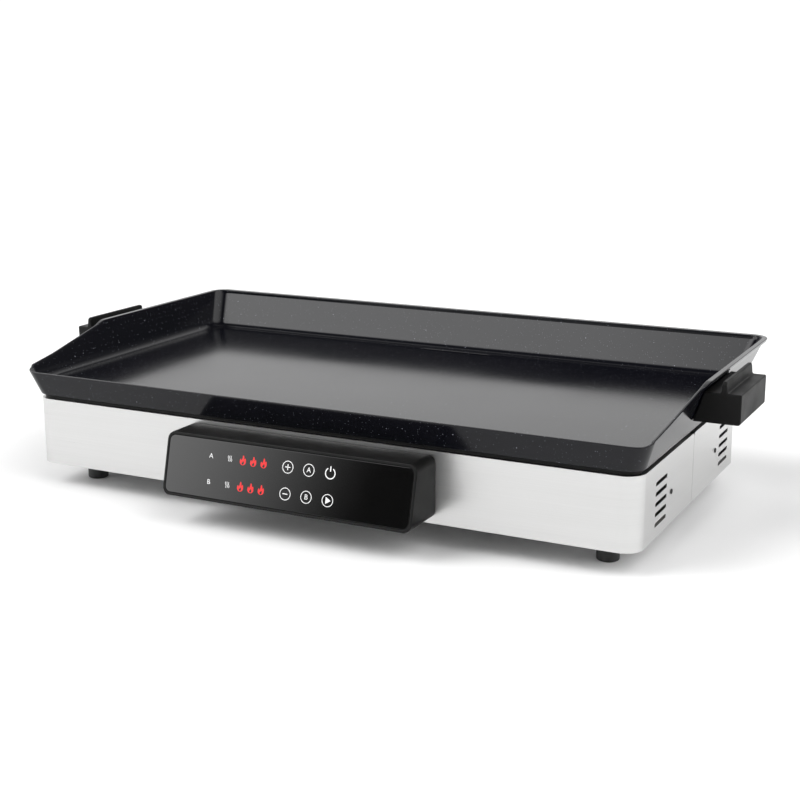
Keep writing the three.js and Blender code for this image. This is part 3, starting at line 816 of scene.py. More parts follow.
@dataclass
class Housing:
    """The steel wrap in its two halves, with vents, side screws and rear doors."""

    corner: float = 17 * MM
    least_corner: float = 4 * MM
    sheet: float = 1.0 * MM
    flange: float = 9 * MM
    seam: float = 0.5 * MM
    seam_round: float = 3.2 * MM
    cut_depth: float = 4 * MM
    vent_length: float = 30 * MM
    vent_height: float = 3.4 * MM
    vent_round: float = 0.42
    vent_rows: int = 5
    vent_first: float = 11.5 * MM
    vent_pitch: float = 8.575 * MM
    vent_places: tuple = (-92 * MM, 100.3 * MM)
    screw_places: tuple = (-64 * MM, 72 * MM)
    screw_height: float = 28.2 * MM
    screw_hole: float = 1.8 * MM
    harness_x: float = 2.4 * MM
    harness_height: float = 30 * MM
    harness_hole: float = 8 * MM
    tray_margin: float = 1.5 * MM
    inlet_rim: float = 3.7 * MM
    edge: float = 0.18 * MM
    steel: Finish = field(default_factory=BrushedSteel)

    def __post_init__(self) -> None:
        """Reads the housing's box from the frame."""
        low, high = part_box("front_shell")
        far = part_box("rear_shell")[1]
        self.half_x = high.x
        self.low_y, self.high_y = low.y, far.y
        self.middle_y = housing_middle_y()
        self.bottom, self.top = low.z, high.z

    def outline(self, inset: float, bottom: float, top: float) -> Solid:
        """The housing's outline pulled in by an inset, between two heights."""
        low = (inset - self.half_x, self.low_y + inset, bottom)
        high = (self.half_x - inset, self.high_y - inset, top)
        return Solid.slab(low, high, max(self.corner - inset, self.least_corner), 16)

    def vents(self) -> Solid:
        """All the vent slots' cutters, with rounded ends."""
        cutters = Solid()
        half = Vector((self.vent_length / 2, self.vent_height / 2, 0))
        depth = Vector((0, 0, self.cut_depth))
        radius = self.vent_height * self.vent_round
        upright = Matrix.Rotation(math.pi / 2, 4, "Z") @ Matrix.Rotation(math.pi / 2, 4, "X")
        for sign in SIDES.values():
            for y in self.vent_places:
                for row in range(self.vent_rows):
                    z = self.bottom + self.vent_first + row * self.vent_pitch
                    slot = Solid.slab(-half - depth, half + depth, radius, 4)
                    slot.moved(upright).shifted(sign * self.half_x, self.middle_y + y, z)
                    cutters.with_solid(slot)
        return cutters

    def screw_holes(self) -> Solid:
        """The side screws' holes."""
        cutters = Solid()
        for sign in SIDES.values():
            for y in self.screw_places:
                hole = Solid.plug(self.screw_hole, self.cut_depth, "Y", 20)
                place = (sign * self.half_x, self.middle_y + y, self.bottom + self.screw_height)
                cutters.with_solid(hole.shifted(*place))
        return cutters

    def seam_cutter(self, sign: int) -> Solid:
        """Takes away all but one half, rounding the kept sheet's corner at the seam.

        Args:
            sign: The half that is kept, -1 for the front and 1 for the rear.

        Returns:
            The solid to cut with.
        """
        near = sign * self.seam / 2
        far = -sign * OUTSIDE
        tall = self.top - self.bottom
        over = 5 * MM
        wide = near + sign * (self.seam_round + 2 * MM)
        outline = [(near, -over), (near, tall), (wide, tall)]
        outline += [(wide, tall + over), (far, tall + over), (far, -over)]
        solid = Solid()
        verts = [solid.bm.verts.new((y, z, 0)) for y, z in outline]
        solid.bm.faces.new(verts)
        solid.round_corners([verts[1]], self.seam_round, 6)
        solid.raised((0, 0, 2 * OUTSIDE))
        across = (0, 0, 1, -OUTSIDE)
        lengthways = (1, 0, 0, self.middle_y)
        upwards = (0, 1, 0, self.bottom)
        return solid.moved(Matrix((across, lengthways, upwards, (0, 0, 0, 1))))

    def wrap(self) -> bpy.types.Object:
        """The wall and its turned-in top flange, before it is split."""
        wall = self.outline(0, self.bottom, self.top).piece("wrap")
        carve(wall, self.outline(self.sheet, self.bottom - MM, self.top - self.sheet))
        carve(wall, self.outline(self.flange, self.bottom, self.top + MM))
        carve(wall, self.drain_window())
        carve(wall, self.vents().with_solid(self.screw_holes()))
        return wall

    def drain_window(self) -> Solid:
        """The notch in the rear flange that the drain chute passes through."""
        low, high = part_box("drain_chute")
        return Solid.slab(
            (low.x - MM, low.y - MM, self.top - 2 * MM),
            (high.x + MM, self.high_y - self.sheet, self.top + MM),
        )

    def build(self) -> None:
        """Builds both halves of the housing."""
        for end, sign in ENDS.items():
            half = self.wrap()
            half.name = f"{end}_steel_wrap"
            carve(half, self.seam_cutter(sign))
            for door in self.doors(end):
                carve(half, door)
            soften(half, self.edge)
            dress(half, self.steel, Body.BASE, [f"{end}_shell"])

    def doors(self, end: str) -> list[Solid]:
        """The openings in one end wall: the harness hole, or the tray and inlet doors."""
        if end == "front":
            hole = Solid.plug(self.harness_hole, self.cut_depth, "X")
            return [hole.shifted(self.harness_x, self.low_y, self.bottom + self.harness_height)]
        guide_low, guide_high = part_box("tray_guide")
        tray_low, tray_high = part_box("drip_tray")
        inlet_low, inlet_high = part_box("power_inlet")
        margin, rim = self.tray_margin, self.inlet_rim
        near, far = self.high_y - self.cut_depth, self.high_y + self.cut_depth
        tray_door = Solid.slab(
            (guide_low.x + margin, near, tray_low.z + MM),
            (guide_high.x - margin, far, tray_high.z - 2 * MM),
        )
        inlet_door = Solid.slab(
            (inlet_low.x + rim, near, inlet_low.z + rim),
            (inlet_high.x - rim, far, inlet_high.z - rim),
        )
        return [tray_door, inlet_door]


@dataclass
class CrossScrew:
    """A pan-head screw with a cross recess. Its head and shank are given as radii."""

    head: float
    head_height: float
    shank: float
    length: float
    finish: Finish
    cross_reach: float = 0.62
    cross_width: float = 0.11
    cross_depth: float = 0.7
    edge: float = 0.06 * MM

    def build(self, name: str, matrix: Matrix, body: Body, node: str) -> None:
        """Builds one screw.

        Args:
            name: The piece's name.
            matrix: Its place. The underside of its head is at the origin, and its tip is below.
            body: The body that it rides on.
            node: The frame node that it stands for.
        """
        top = self.head_height
        profile = [
            (0, -self.length),
            (self.shank * 0.7, -self.length),
            (self.shank, -self.length + 0.4 * MM),
            (self.shank, 0),
            (self.head, 0),
            (self.head, top * 0.35),
            (self.head * 0.9, top * 0.75),
            (self.head * 0.62, top),
            (0, top),
        ]
        screw = Solid.turned(profile, 32).piece(name)
        reach, half = self.head * self.cross_reach, self.head * self.cross_width
        floor = top * (1 - self.cross_depth)
        for x, y in ((reach, half), (half, reach)):
            carve(screw, Solid.slab((-x, -y, floor), (x, y, top + MM)))
        soften(screw, self.edge, 1)
        screw.data.transform(matrix)
        dress(screw, self.finish, body, [node])


@dataclass
class Underpinnings:
    """The feet, their screws and the side screws."""

    foot_edge: float = 1.6 * MM
    recess: float = 4.8 * MM
    recess_floor: float = 2.8 * MM
    bore: float = 2.0 * MM
    chamfer: float = 0.3 * MM
    foot_head: float = 4 * MM
    foot_head_height: float = 2.3 * MM
    foot_shank: float = 1.7 * MM
    side_head: float = 2.3 * MM
    side_head_height: float = 0.7 * MM
    side_shank: float = 1.5 * MM
    side_length: float = 6.8 * MM
    rubber: Finish = field(default_factory=FootRubber)
    plating: Finish = field(default_factory=ZincScrew)
    blackened: Finish = field(default_factory=BlackScrew)

    def foot(self, end: str, side: str) -> None:
        """One round foot with a recess for its screw."""
        node = f"foot_{end}_{side}"
        low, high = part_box(node)
        middle = (low + high) / 2
        radius = (high.x - low.x) / 2
        recess_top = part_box(f"foot_screw_{end}_{side}")[0].z + self.recess_floor
        edge, chamfer, rim = self.foot_edge, self.chamfer, 0.4 * MM
        arc = [
            (radius - edge + edge * math.sin(turn), low.z + edge - edge * math.cos(turn))
            for turn in (i * math.pi / 12 for i in range(7))
        ]
        profile = [(self.bore, recess_top), (self.recess, recess_top)]
        profile += [(self.recess, low.z + chamfer), (self.recess + chamfer, low.z), *arc]
        profile += [(radius, high.z - rim), (radius - rim, high.z), (self.bore, high.z)]
        foot = Solid.turned(profile, 64).shifted(middle.x, middle.y).piece(f"rubber_{node}")
        soften(foot, 0)
        dress(foot, self.rubber, Body.BASE, [node])

    def build(self) -> None:
        """Builds all four corners."""
        for end, end_sign in ENDS.items():
            for side, side_sign in SIDES.items():
                self.foot(end, side)
                node = f"foot_screw_{end}_{side}"
                low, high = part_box(node)
                middle = (low + high) / 2
                head, head_height = self.foot_head, self.foot_head_height
                length = high.z - low.z - head_height - self.chamfer
                screw = CrossScrew(head, head_height, self.foot_shank, length, self.plating)
                flip = Matrix.Rotation(math.pi, 4, "X")
                place = Matrix.Translation((middle.x, middle.y, low.z + head_height)) @ flip
                screw.build(f"foot_fixing_{end}_{side}", place, Body.BASE, node)
                self.side_screw(end, side, side_sign)

    def side_screw(self, end: str, side: str, sign: int) -> None:
        """One black screw that ties the steel wrap to its inner strap."""
        node = f"side_screw_{end}_{side}"
        low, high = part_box(node)
        middle = (low + high) / 2
        outer = high.x if sign > 0 else low.x
        head, head_height = self.side_head, self.side_head_height
        screw = CrossScrew(head, head_height, self.side_shank, self.side_length, self.blackened)
        turn = Matrix.Rotation(sign * math.pi / 2, 4, "Y")
        place = Matrix.Translation((outer - sign * head_height, middle.y, middle.z)) @ turn
        screw.build(f"side_fixing_{end}_{side}", place, Body.BASE, node)


# ---- Cooking plate -----------------------------------------------------------------------


@dataclass
class CookingPlate:
    """The die-cast plate: flared walls, a rim that climbs to the rear, a lip and a drain."""

    corner: float = 15 * MM
    wall: float = 2.6 * MM
    side_flare: float = SIDE_FLARE
    front_flare: float = 0.302
    rear_flare: float = 0.778
    floor_rise: float = 12.2 * MM
    underside_rise: float = 8.2 * MM
    foot_inset: float = 8.8 * MM
    rear_foot_inset: float = 2.6 * MM
    foot_round: float = 0.8 * MM
    front_rim_rise: float = 22.2 * MM
    kink_rise: float = 46.2 * MM
    climb_start: float = -152 * MM
    kink: float = -32 * MM
    kink_blend: float = 13 * MM
    lip_reach: float = 2.5 * MM
    lip_height: float = 3.0 * MM
    lip_taper: float = 1.7
    lip_fade: float = 20 * MM
    band: float = 3.4 * MM
    fillet: float = 12 * MM
    fillet_steps: int = 9
    rounding: float = 0.9 * MM
    rim_cuts: int = 19
    rim_cut_pitch: float = 2 * MM
    wall_cuts: tuple = (-110 * MM, -70 * MM, 40 * MM, 90 * MM)
    drain_x: float = 4 * MM
    drain_y: float = 143.5 * MM
    drain_size: tuple = (76 * MM, 4.8 * MM)
    drain_round: float = 0.8 * MM
    lug_rise: float = 19.2 * MM
    lug_reach: float = 28 * MM
    lug_span: tuple = (-6 * MM, 36 * MM)
    lug_thick: float = 7 * MM
    lug_corner: float = 2 * MM
    coating: Finish = field(default_factory=NonstickCoating)

    def __post_init__(self) -> None:
        """Reads the base line and the rim from the frame."""
        low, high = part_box("plate_wall_rear")
        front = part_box("front_shell")[0]
        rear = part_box("rear_shell")[1]
        self.base, self.rim = low.z, high.z
        self.half_x = rear.x
        self.half_y = (rear.y - front.y) / 2
        self.middle_y = housing_middle_y()
        self.reach = Vector((self.half_x - self.corner, self.half_y - self.corner))

    def rim_height(self, y: float) -> float:
        """The rim's height at a distance from the middle, front to rear."""
        climb = min(max((y - self.climb_start) / (self.kink - self.climb_start), 0.0), 1.0)
        low = self.front_rim_rise + (self.kink_rise - self.front_rim_rise) * climb
        lift = smooth_step((y - self.kink + 0.25 * self.kink_blend) / self.kink_blend)
        return self.base + low + (self.rim - self.base - self.kink_rise) * lift

    def lip_share(self, y: float) -> float:
        """How much of the lip stands out, from 0 on the low rim to 1 on the high one."""
        return smooth_step((y - self.kink + 0.6 * self.lip_fade) / self.lip_fade)

    def section(self, flare: float, share: float, y: float) -> list[tuple[float, float]]:
        """The wall's section, from under its foot, over the rim and down to the floor.

        Args:
            flare: How far the wall leans out for each unit of height.
            share: How much it is part of the rear wall, whose inner face ends upright.
            y: The distance from the middle, front to rear.

        Returns:
            Points of inset from the outer wall's line, and height.
        """
        rim, base = self.rim_height(y), self.base
        reach = self.lip_reach * self.lip_share(y)
        small = self.rounding
        foot, facet = self.foot_round, 0.25 * MM
        points = [(foot, base), (facet, base + facet), (0.0, base + foot)]
        points.append((0.0, rim - (1 + self.lip_taper) * self.lip_height))
        for turn in (i * math.pi / 8 for i in range(1, 5)):
            out = reach * (1 - math.cos(turn))
            drop = self.lip_height * (1 + self.lip_taper * (1 - math.sin(turn)))
            points.append((-out, rim - drop))
        points.append((-reach, rim - self.lip_height + facet))
        inner = self.wall + share * flare * (self.band - small)
        for turn in (i * math.pi / 8 for i in range(5)):
            points.append((-reach + small * (1 - math.cos(turn)), rim - small * (1 - math.sin(turn))))
        for turn in (i * math.pi / 8 for i in range(5)):
            points.append((inner - small * (1 - math.sin(turn)), rim - small * (1 - math.cos(turn))))
        points.append((self.wall + 0.15 * share * flare * self.band, rim - 0.88 * self.band))
        points.append((self.wall, rim - 1.1 * self.band))
        return points + self.fillet_points(flare)

    def fillet_points(self, flare: float) -> list[tuple[float, float]]:
        """The arc from the inner wall to the cooking floor."""
        lean = math.atan(flare)
        radius, floor = self.fillet, self.base + self.floor_rise
        middle = radius * (1 - math.sin(lean)) / math.cos(lean)
        points = []
        for i in range(self.fillet_steps + 1):
            turn = lean + (math.pi / 2 - lean) * i / self.fillet_steps
            height = radius * (1 - math.sin(turn))
            inset = self.wall + middle - radius * math.cos(turn) + flare * height
            points.append((inset, floor + height))
        return points

    def outline_at(self, home: Vector) -> tuple[Vector, Vector, float]:
        """What the base outline is like at one of its points.

        Args:
            home: The point.

        Returns:
            The point's corner centre, its outward normal, and the lean of its end's wall.
        """
        core = Vector((clamp(home.x, self.reach.x), clamp(home.y, self.reach.y)))
        lean = self.rear_flare if home.y > 0 else self.front_flare
        return core, (home - core) / self.corner, lean

    def place(self, home: Vector, inset: float, height: float) -> Vector:
        """Where a point of the base outline goes at an inset and a height.

        Args:
            home: The point on the base outline.
            inset: How far it is pulled in from the outer wall.
            height: Its height.

        Returns:
            The point, in the part's frame.
        """
        core, normal, lean = self.outline_at(home)
        rise = height - self.base
        if abs(home.x) > self.reach.x - TOUCHING:
            core.x += math.copysign(self.side_flare * rise, home.x)
        if abs(home.y) > self.reach.y - TOUCHING:
            core.y += math.copysign(lean * rise, home.y)
        spot = core + normal * (self.corner - inset)
        return Vector((spot.x, spot.y + self.middle_y, height))

    def flare_at(self, home: Vector) -> tuple[float, float]:
        """The wall's lean at a point of the base outline, and how much it is the rear wall."""
        _, normal, lean = self.outline_at(home)
        return self.side_flare * normal.x**2 + lean * normal.y**2, max(normal.y, 0.0) ** 2

    def shell(self) -> Solid:
        """The plate's whole skin, raised ring by ring from its base outline."""
        solid = Solid()
        bm = solid.bm
        homes = bm.verts.layers.float_vector.new("home")
        grid = bmesh.ops.create_grid(bm, x_segments=1, y_segments=1, size=0.5)
        bmesh.ops.scale(bm, vec=(2 * self.half_x, 2 * self.half_y, 1), verts=grid["verts"])
        solid.round_corners(bm.verts, self.corner, 12)
        first = self.kink - self.lip_fade
        rim_cuts = [first + self.rim_cut_pitch * i for i in range(self.rim_cuts)]
        for y in (*rim_cuts, *self.wall_cuts):
            geom = [*bm.verts, *bm.edges, *bm.faces]
            bmesh.ops.bisect_plane(bm, geom=geom, dist=WELD, plane_co=(0, y, 0), plane_no=(0, 1, 0))
        bmesh.ops.dissolve_faces(bm, faces=bm.faces)
        for vert in bm.verts:
            vert[homes] = vert.co
        bmesh.ops.delete(bm, geom=list(bm.faces), context="FACES_ONLY")
        ring = list(bm.edges)
        sections = {}
        for vert in bm.verts:
            home = Vector(vert[homes][:2])
            shift = self.front_flare * self.front_rim_rise
            y = home.y - shift if home.y < self.corner - self.half_y else home.y
            key = (round(home.x, 6), round(home.y, 6))
            sections[key] = (home, self.section(*self.flare_at(home), y))
        levels = len(next(iter(sections.values()))[1])

        def settle(verts: Iterable[bmesh.types.BMVert], level: int) -> None:
            """Moves a ring of vertices to its level of the section."""
            for vert in verts:
                home, points = sections[tuple(round(c, 6) for c in vert[homes][:2])]
                vert.co = self.place(home, *points[level])

        settle(bm.verts, 0)
        foot = list(ring)
        for level in range(1, levels):
            ring, fresh = extruded_ring(bm, ring)
            settle(fresh, level)
        bmesh.ops.contextual_create(bm, geom=ring)
        self.close_underside(bm, foot, homes)
        return solid

    def close_underside(
        self,
        bm: bmesh.types.BMesh,
        foot: Sequence[bmesh.types.BMEdge],
        homes: bmesh.types.BMLayerItem,
    ) -> None:
        """Closes the skin below with a shallow recess over the heaters.

        Args:
            bm: The plate's mesh.
            foot: The edges of the base ring.
            homes: The layer that holds each vertex's point on the base outline.
        """
        for height in (self.base, self.base + self.underside_rise):
            foot, fresh = extruded_ring(bm, foot)
            for vert in fresh:
                home = Vector(vert[homes][:2])
                at_rear = self.outline_at(home)[1].y > 0.99
                inset = self.rear_foot_inset if at_rear else self.foot_inset
                spot = self.place(home, inset, self.base)
                vert.co = (spot.x, spot.y, height)
        bmesh.ops.contextual_create(bm, geom=foot)

    def lug(self, sign: int) -> Solid:
        """One cast lug that a handle is screwed to."""
        inner = self.half_x + self.side_flare * self.lug_rise - 0.4 * MM
        xs = sorted((sign * inner, sign * (self.half_x + self.lug_reach)))
        ys = [self.middle_y + y for y in self.lug_span]
        bottom = self.base + self.lug_rise
        high = (xs[1], ys[1], bottom + self.lug_thick)
        return Solid.slab((xs[0], ys[0], bottom), high, self.lug_corner, 4)

    def build(self) -> None:
        """Builds the plate with its drain slot and lugs."""
        plate = self.shell().piece("cooking_plate_casting")
        for sign in SIDES.values():
            carve(plate, self.lug(sign), Carving.JOIN)
        half = Vector((self.drain_size[0] / 2, self.drain_size[1] / 2, 0))
        middle = Vector((self.drain_x, self.drain_y + self.middle_y, self.base))
        low = middle - half
        high = middle + half + Vector((0, 0, self.floor_rise + 3 * MM))
        carve(plate, Solid.slab(low, high, self.drain_size[1] * 0.49, 8))
        self.soften_drain(plate, middle.z + self.floor_rise)
        soften(plate, 0)
        dress(plate, self.coating, Body.PLATE, PLATE_NODES)

    def soften_drain(self, plate: bpy.types.Object, floor: float) -> None:
        """Rounds the drain slot's edge into the floor.

        Args:
            plate: The plate.
            floor: The height of its cooking floor.
        """
        bm = bmesh.new()
        bm.from_mesh(plate.data)
        reach = Vector((self.drain_size[0] / 2 + MM, self.drain_size[1] / 2 + MM))
        middle = Vector((self.drain_x, self.drain_y + self.middle_y))

        def near(vert: bmesh.types.BMVert) -> bool:
            """Whether a vertex is on the slot's rim."""
            off = vert.co.xy - middle
            level = abs(vert.co.z - floor) < TOUCHING
            return level and abs(off.x) < reach.x and abs(off.y) < reach.y

        edges = [edge for edge in bm.edges if all(near(vert) for vert in edge.verts)]
        round_edges(bm, edges, self.drain_round, 3)
        bm.to_mesh(plate.data)
        bm.free()


def extruded_ring(bm: bmesh.types.BMesh, ring: Sequence[bmesh.types.BMEdge]) -> tuple[list, list]:
    """Extrudes a ring of edges in place.

    Args:
        bm: The mesh.
        ring: The ring's edges.

    Returns:
        The new ring's edges, and its vertices.
    """
    geom = bmesh.ops.extrude_edge_only(bm, edges=list(ring))["geom"]
    fresh = [item for item in geom if isinstance(item, bmesh.types.BMVert)]
    known = set(fresh)
    edges = [item for item in geom if isinstance(item, bmesh.types.BMEdge)]
    return [edge for edge in edges if all(vert in known for vert in edge.verts)], fresh


def round_edges(
    bm: bmesh.types.BMesh,
    edges: Sequence[bmesh.types.BMEdge],
    radius: float,
    steps: int,
) -> None:
    """Rounds chosen edges of a mesh."""
    bmesh.ops.bevel(
        bm,
        geom=edges,
        offset=radius,
        segments=steps,
        profile=0.5,
        affect="EDGES",
        material=-1,
    )


def clamp(value: float, reach: float) -> float:
    """Holds a value between minus reach and reach."""
    return max(-reach, min(reach, value))


def smooth_step(share: float) -> float:
    """Eases a share from 0 to 1."""
    share = max(0.0, min(1.0, share))
    return share * share * (3 - 2 * share)


@dataclass
class Handles:
    """The two moulded handles, each with a thumb ridge, and their screws."""

    side_flare: float = SIDE_FLARE
    clearance: float = 0.4 * MM
    block_height: float = 26 * MM
    block_round: float = 2.6 * MM
    ridge: tuple = (323 * MM, 328 * MM)
    ridge_round: float = 3.0 * MM
    ridge_flank: float = 1.4 * MM
    edge: float = 1.1 * MM
    lug_span: tuple = (-6.5 * MM, 36.5 * MM)
    lug_rise: tuple = (5 * MM, 13 * MM)
    lug_x: tuple = (290 * MM, 323.5 * MM)
    bore: float = 3.6 * MM
    bore_depth: float = 3 * MM
    screw_head: float = 3 * MM
    screw_head_height: float = 1.9 * MM
    screw_shank: float = 1.5 * MM
    screw_length: float = 18 * MM
    plastic: Finish = field(default_factory=MouldedPlastic)
    plating: Finish = field(default_factory=ZincScrew)

    def section(self, sign: int, low: Vector, high: Vector) -> list[tuple[float, float]]:
        """The handle's outline across X and Z.

        Args:
            sign: Its side, -1 for left and 1 for right.
            low: The lowest corner of its frame node.
            high: The highest corner of its frame node.

        Returns:
            Points of X and Z.
        """
        half_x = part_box("front_shell")[1].x
        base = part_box("plate_wall_rear")[0].z
        top = low.z + self.block_height
        outer = max(abs(low.x), abs(high.x))
        inner = [half_x + self.side_flare * (z - base) + self.clearance for z in (low.z, top)]
        near, far = self.ridge
        flank, radius = self.ridge_flank, self.block_round
        turns = [step * math.pi / 10 for step in range(6)]
        reach, rise = outer - radius, low.z + radius
        points = [
            (inner[0], low.z),
            *((reach + radius * math.sin(turn), rise - radius * math.cos(turn)) for turn in turns),
            (outer, top),
            (far + flank, top),
            (far + 0.4 * flank, top + 0.35 * flank),
            (far, top + flank),
            (far - 0.8 * MM, high.z),
            (near + 0.6 * MM, high.z),
            (near, top + flank),
            (near - 0.4 * flank, top + 0.35 * flank),
            (near - flank, top),
            (inner[1], top),
        ]
        return [(sign * x, z) for x, z in points]

    def build(self) -> None:
        """Builds both handles and their screws."""
        middle_y = housing_middle_y()
        for side, sign in SIDES.items():
            node = f"handle_{side}"
            low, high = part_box(node)
            solid = Solid.drawn(self.section(sign, low, high), high.y - low.y)
            upright = Matrix.Translation((0, high.y, 0)) @ Matrix.Rotation(math.pi / 2, 4, "X")
            handle = solid.moved(upright).piece(f"moulded_{node}")
            xs = sorted(sign * x for x in self.lug_x)
            ys = [middle_y + y for y in self.lug_span]
            zs = [low.z + z for z in self.lug_rise]
            carve(handle, Solid.slab((xs[0], ys[0], zs[0]), (xs[1], ys[1], zs[1])))
            self.round_ridge(handle, low.z + self.block_height + 4 * MM)
            soften(handle, self.edge, 3)
            for end in ENDS:
                self.fix(handle, end, side, low.z)
            soften(handle, 0)
            dress(handle, self.plastic, Body.PLATE, [node])

    def fix(self, handle: bpy.types.Object, end: str, side: str, bottom: float) -> None:
        """Bores a handle for one screw, and builds the screw.

        Args:
            handle: The handle.
            end: The screw's end, front or rear.
            side: The handle's side.
            bottom: The height of the handle's underside.
        """
        node = f"handle_screw_{end}_{side}"
        low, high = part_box(node)
        spot = (low + high) / 2
        depth = self.bore_depth
        bore = [(0, 0), (self.bore, 0), (self.bore, depth), (0, depth)]
        carve(handle, Solid.turned(bore, 24).shifted(spot.x, spot.y, bottom - 0.01 * MM))
        head, head_height = self.screw_head, self.screw_head_height
        screw = CrossScrew(head, head_height, self.screw_shank, self.screw_length, self.plating)
        flip = Matrix.Rotation(math.pi, 4, "X")
        place = Matrix.Translation((spot.x, spot.y, low.z + head_height)) @ flip
        screw.build(f"handle_fixing_{end}_{side}", place, Body.PLATE, node)

    def round_ridge(self, handle: bpy.types.Object, height: float) -> None:
        """Rounds the thumb ridge's two upper corners, front and rear.

        Args:
            handle: The handle.
            height: A height that only the top of the ridge is above.
        """
        bm = bmesh.new()
        bm.from_mesh(handle.data)

        def across(edge: bmesh.types.BMEdge) -> bool:
            """Whether an edge runs across the ridge's top at one end."""
            a, b = (vert.co for vert in edge.verts)
            level = abs(a.y - b.y) < TOUCHING and abs(a.z - b.z) < TOUCHING
            return level and min(a.z, b.z) > height

        edges = [edge for edge in bm.edges if across(edge)]
        round_edges(bm, edges, self.ridge_round, 5)
        bm.to_mesh(handle.data)
        bm.free()


# ---- Control panel -----------------------------------------------------------------------


@dataclass
class ControlPanel:
    """The wedge on the front wall, its glass and the symbols on it."""

    half_width: float = 120.6 * MM
    corner: float = 7 * MM
    wall: float = 2.4 * MM
    border: float = 2.6 * MM
    glass: float = 2.0 * MM
    glass_corner: float = 5 * MM
    slope: float = 13 / 51
    face_start: float = 0.8 * MM
    case_edge: float = 0.7 * MM
    pane_edge: float = 0.45 * MM
    pane_gap: float = 0.25 * MM
    window_border: float = 4 * MM
    print_height: float = 0.06 * MM
    stroke: float = 0.6 * MM
    row: float = 11.2 * MM
    label_x: float = -74 * MM
    heat_x: float = -55 * MM
    flame_x: tuple = (-42 * MM, -31.7 * MM, -21.4 * MM)
    flame_scale: float = 0.85 * MM
    label_size: float = 6.0 * MM
    key_letter_size: float = 6.2 * MM
    key_x: tuple = (2.2 * MM, 22.4 * MM, 42.7 * MM)
    key_radius: float = 5.3 * MM
    plastic: Finish = field(default_factory=lambda: MouldedPlastic(roughness=0.42))
    pane: Finish = field(default_factory=PanelGlass)
    ink: Finish = field(default_factory=PrintedInk)
    flame: Finish = field(default_factory=LitFlame)

    def __post_init__(self) -> None:
        """Reads the wedge's box and sets up the leaning face's own axes."""
        low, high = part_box("control_housing")
        self.low, self.high = low, high
        self.middle = (low + high) / 2
        lean = math.atan(self.slope)
        across = Vector((1, 0, 0))
        up = Vector((0, math.sin(lean), math.cos(lean)))
        self.out = across.cross(up)
        reach_y = low.y + (self.middle.z - low.z - self.face_start) * self.slope
        self.spot = Vector((self.middle.x, reach_y, self.middle.z))
        rows = [(across[i], up[i], self.out[i], self.spot[i]) for i in range(3)]
        self.face = Matrix((*rows, (0, 0, 0, 1)))
        self.face_half = (high.z - low.z) / 2 / math.cos(lean)

    def wedge(self, inset: float, setback: float) -> tuple[Solid, list[bmesh.types.BMFace]]:
        """The wedge, pulled in at its sides and set back at its face.

        Args:
            inset: How far the sides are pulled in.
            setback: How far the face is set back.

        Returns:
            The solid, and the faces of its leaning front.
        """
        low, high, middle = self.low, self.high, self.middle
        depth = high.y - low.y + 0.03
        half = Vector((self.half_width - inset, (high.z - low.z) / 2 - inset, depth / 2))
        bar = Solid.slab(-half, half, self.corner - inset / 2, 8)
        bar.moved(Matrix.Rotation(math.pi / 2, 4, "X"))
        bar.shifted(middle.x, high.y - depth / 2 + (MM if inset else 0), middle.z)
        front = bar.cut_off(self.spot - self.out * setback, self.out)
        return bar, front

    def build_wedge(self) -> None:
        """The hollow plastic wedge with a pocket for the glass."""
        bar, _ = self.wedge(0, 0)
        wedge = bar.piece("control_panel_case")
        soften(wedge, 0)
        half = Vector((self.half_width - self.border, self.face_half - self.border, 0))
        depth = Vector((0, 0, self.glass + 0.2 * MM))
        pocket = Solid.slab(-half - depth, half + depth, self.glass_corner + 0.4 * MM, 8)
        carve(wedge, pocket.moved(self.face))
        hollow, _ = self.wedge(self.wall, self.wall + self.glass)
        carve(wedge, hollow)
        border = self.window_border
        window = Vector((half.x - border, half.y - border, 12 * MM))
        carve(wedge, Solid.slab(-window, window, border, 6).moved(self.face))
        soften(wedge, self.case_edge, 3)
        dress(wedge, self.plastic, Body.BASE, ["control_housing"])

    def build_glass(self) -> None:
        """The glass pane, flush with the case's face."""
        rim = self.border + self.pane_gap
        half = Vector((self.half_width - rim, self.face_half - rim, 0))
        low = Vector((-half.x, -half.y, -self.glass))
        pane = Solid.slab(low, half, self.glass_corner, 10).moved(self.face).piece("touch_glass")
        soften(pane, self.pane_edge, 3)
        dress(pane, self.pane, Body.BASE, ["control_glass"])

    def on_face(self, x: float, y: float) -> Matrix:
        """A symbol's place on the glass."""
        return self.face @ Matrix.Translation((x, y, 0.01 * MM))

    def put(self, name: str, solid: Solid, x: float, y: float) -> None:
        """Prints one flat symbol on the glass."""
        dress(solid.moved(self.on_face(x, y)).piece(name), self.ink, Body.BASE)

    def ring(self, name: str, x: float, y: float) -> None:
        """The circle round a touch key."""
        inner, outer, high = self.key_radius - self.stroke, self.key_radius, self.print_height
        profile = [(inner, 0), (outer, 0), (outer, high), (inner, high)]
        self.put(name, Solid.turned(profile, 48), x, y)

    def bar(self, width: float, height: float) -> Solid:
        """A flat bar with round ends, centred."""
        half = Vector((width / 2, height / 2, 0))
        top = Vector((half.x, half.y, self.print_height))
        return Solid.slab(-half, top, min(width, height) * 0.45, 4)

    def letter(self, name: str, text: str, size: float, x: float, y: float) -> None:
        """One zone letter.

        Args:
            name: The piece's name.
            text: The letter.
            size: Its font size.
            x: Where its middle is across the glass.
            y: Where its middle is up the glass.
        """
        curve = bpy.data.curves.new(name, "FONT")
        curve.body = text
        curve.size = size
        curve.align_x = "CENTER"
        curve.align_y = "CENTER"
        curve.extrude = self.print_height / 2
        dress(mesh_of_curve(name, curve, self.on_face(x, y)), self.ink, Body.BASE)

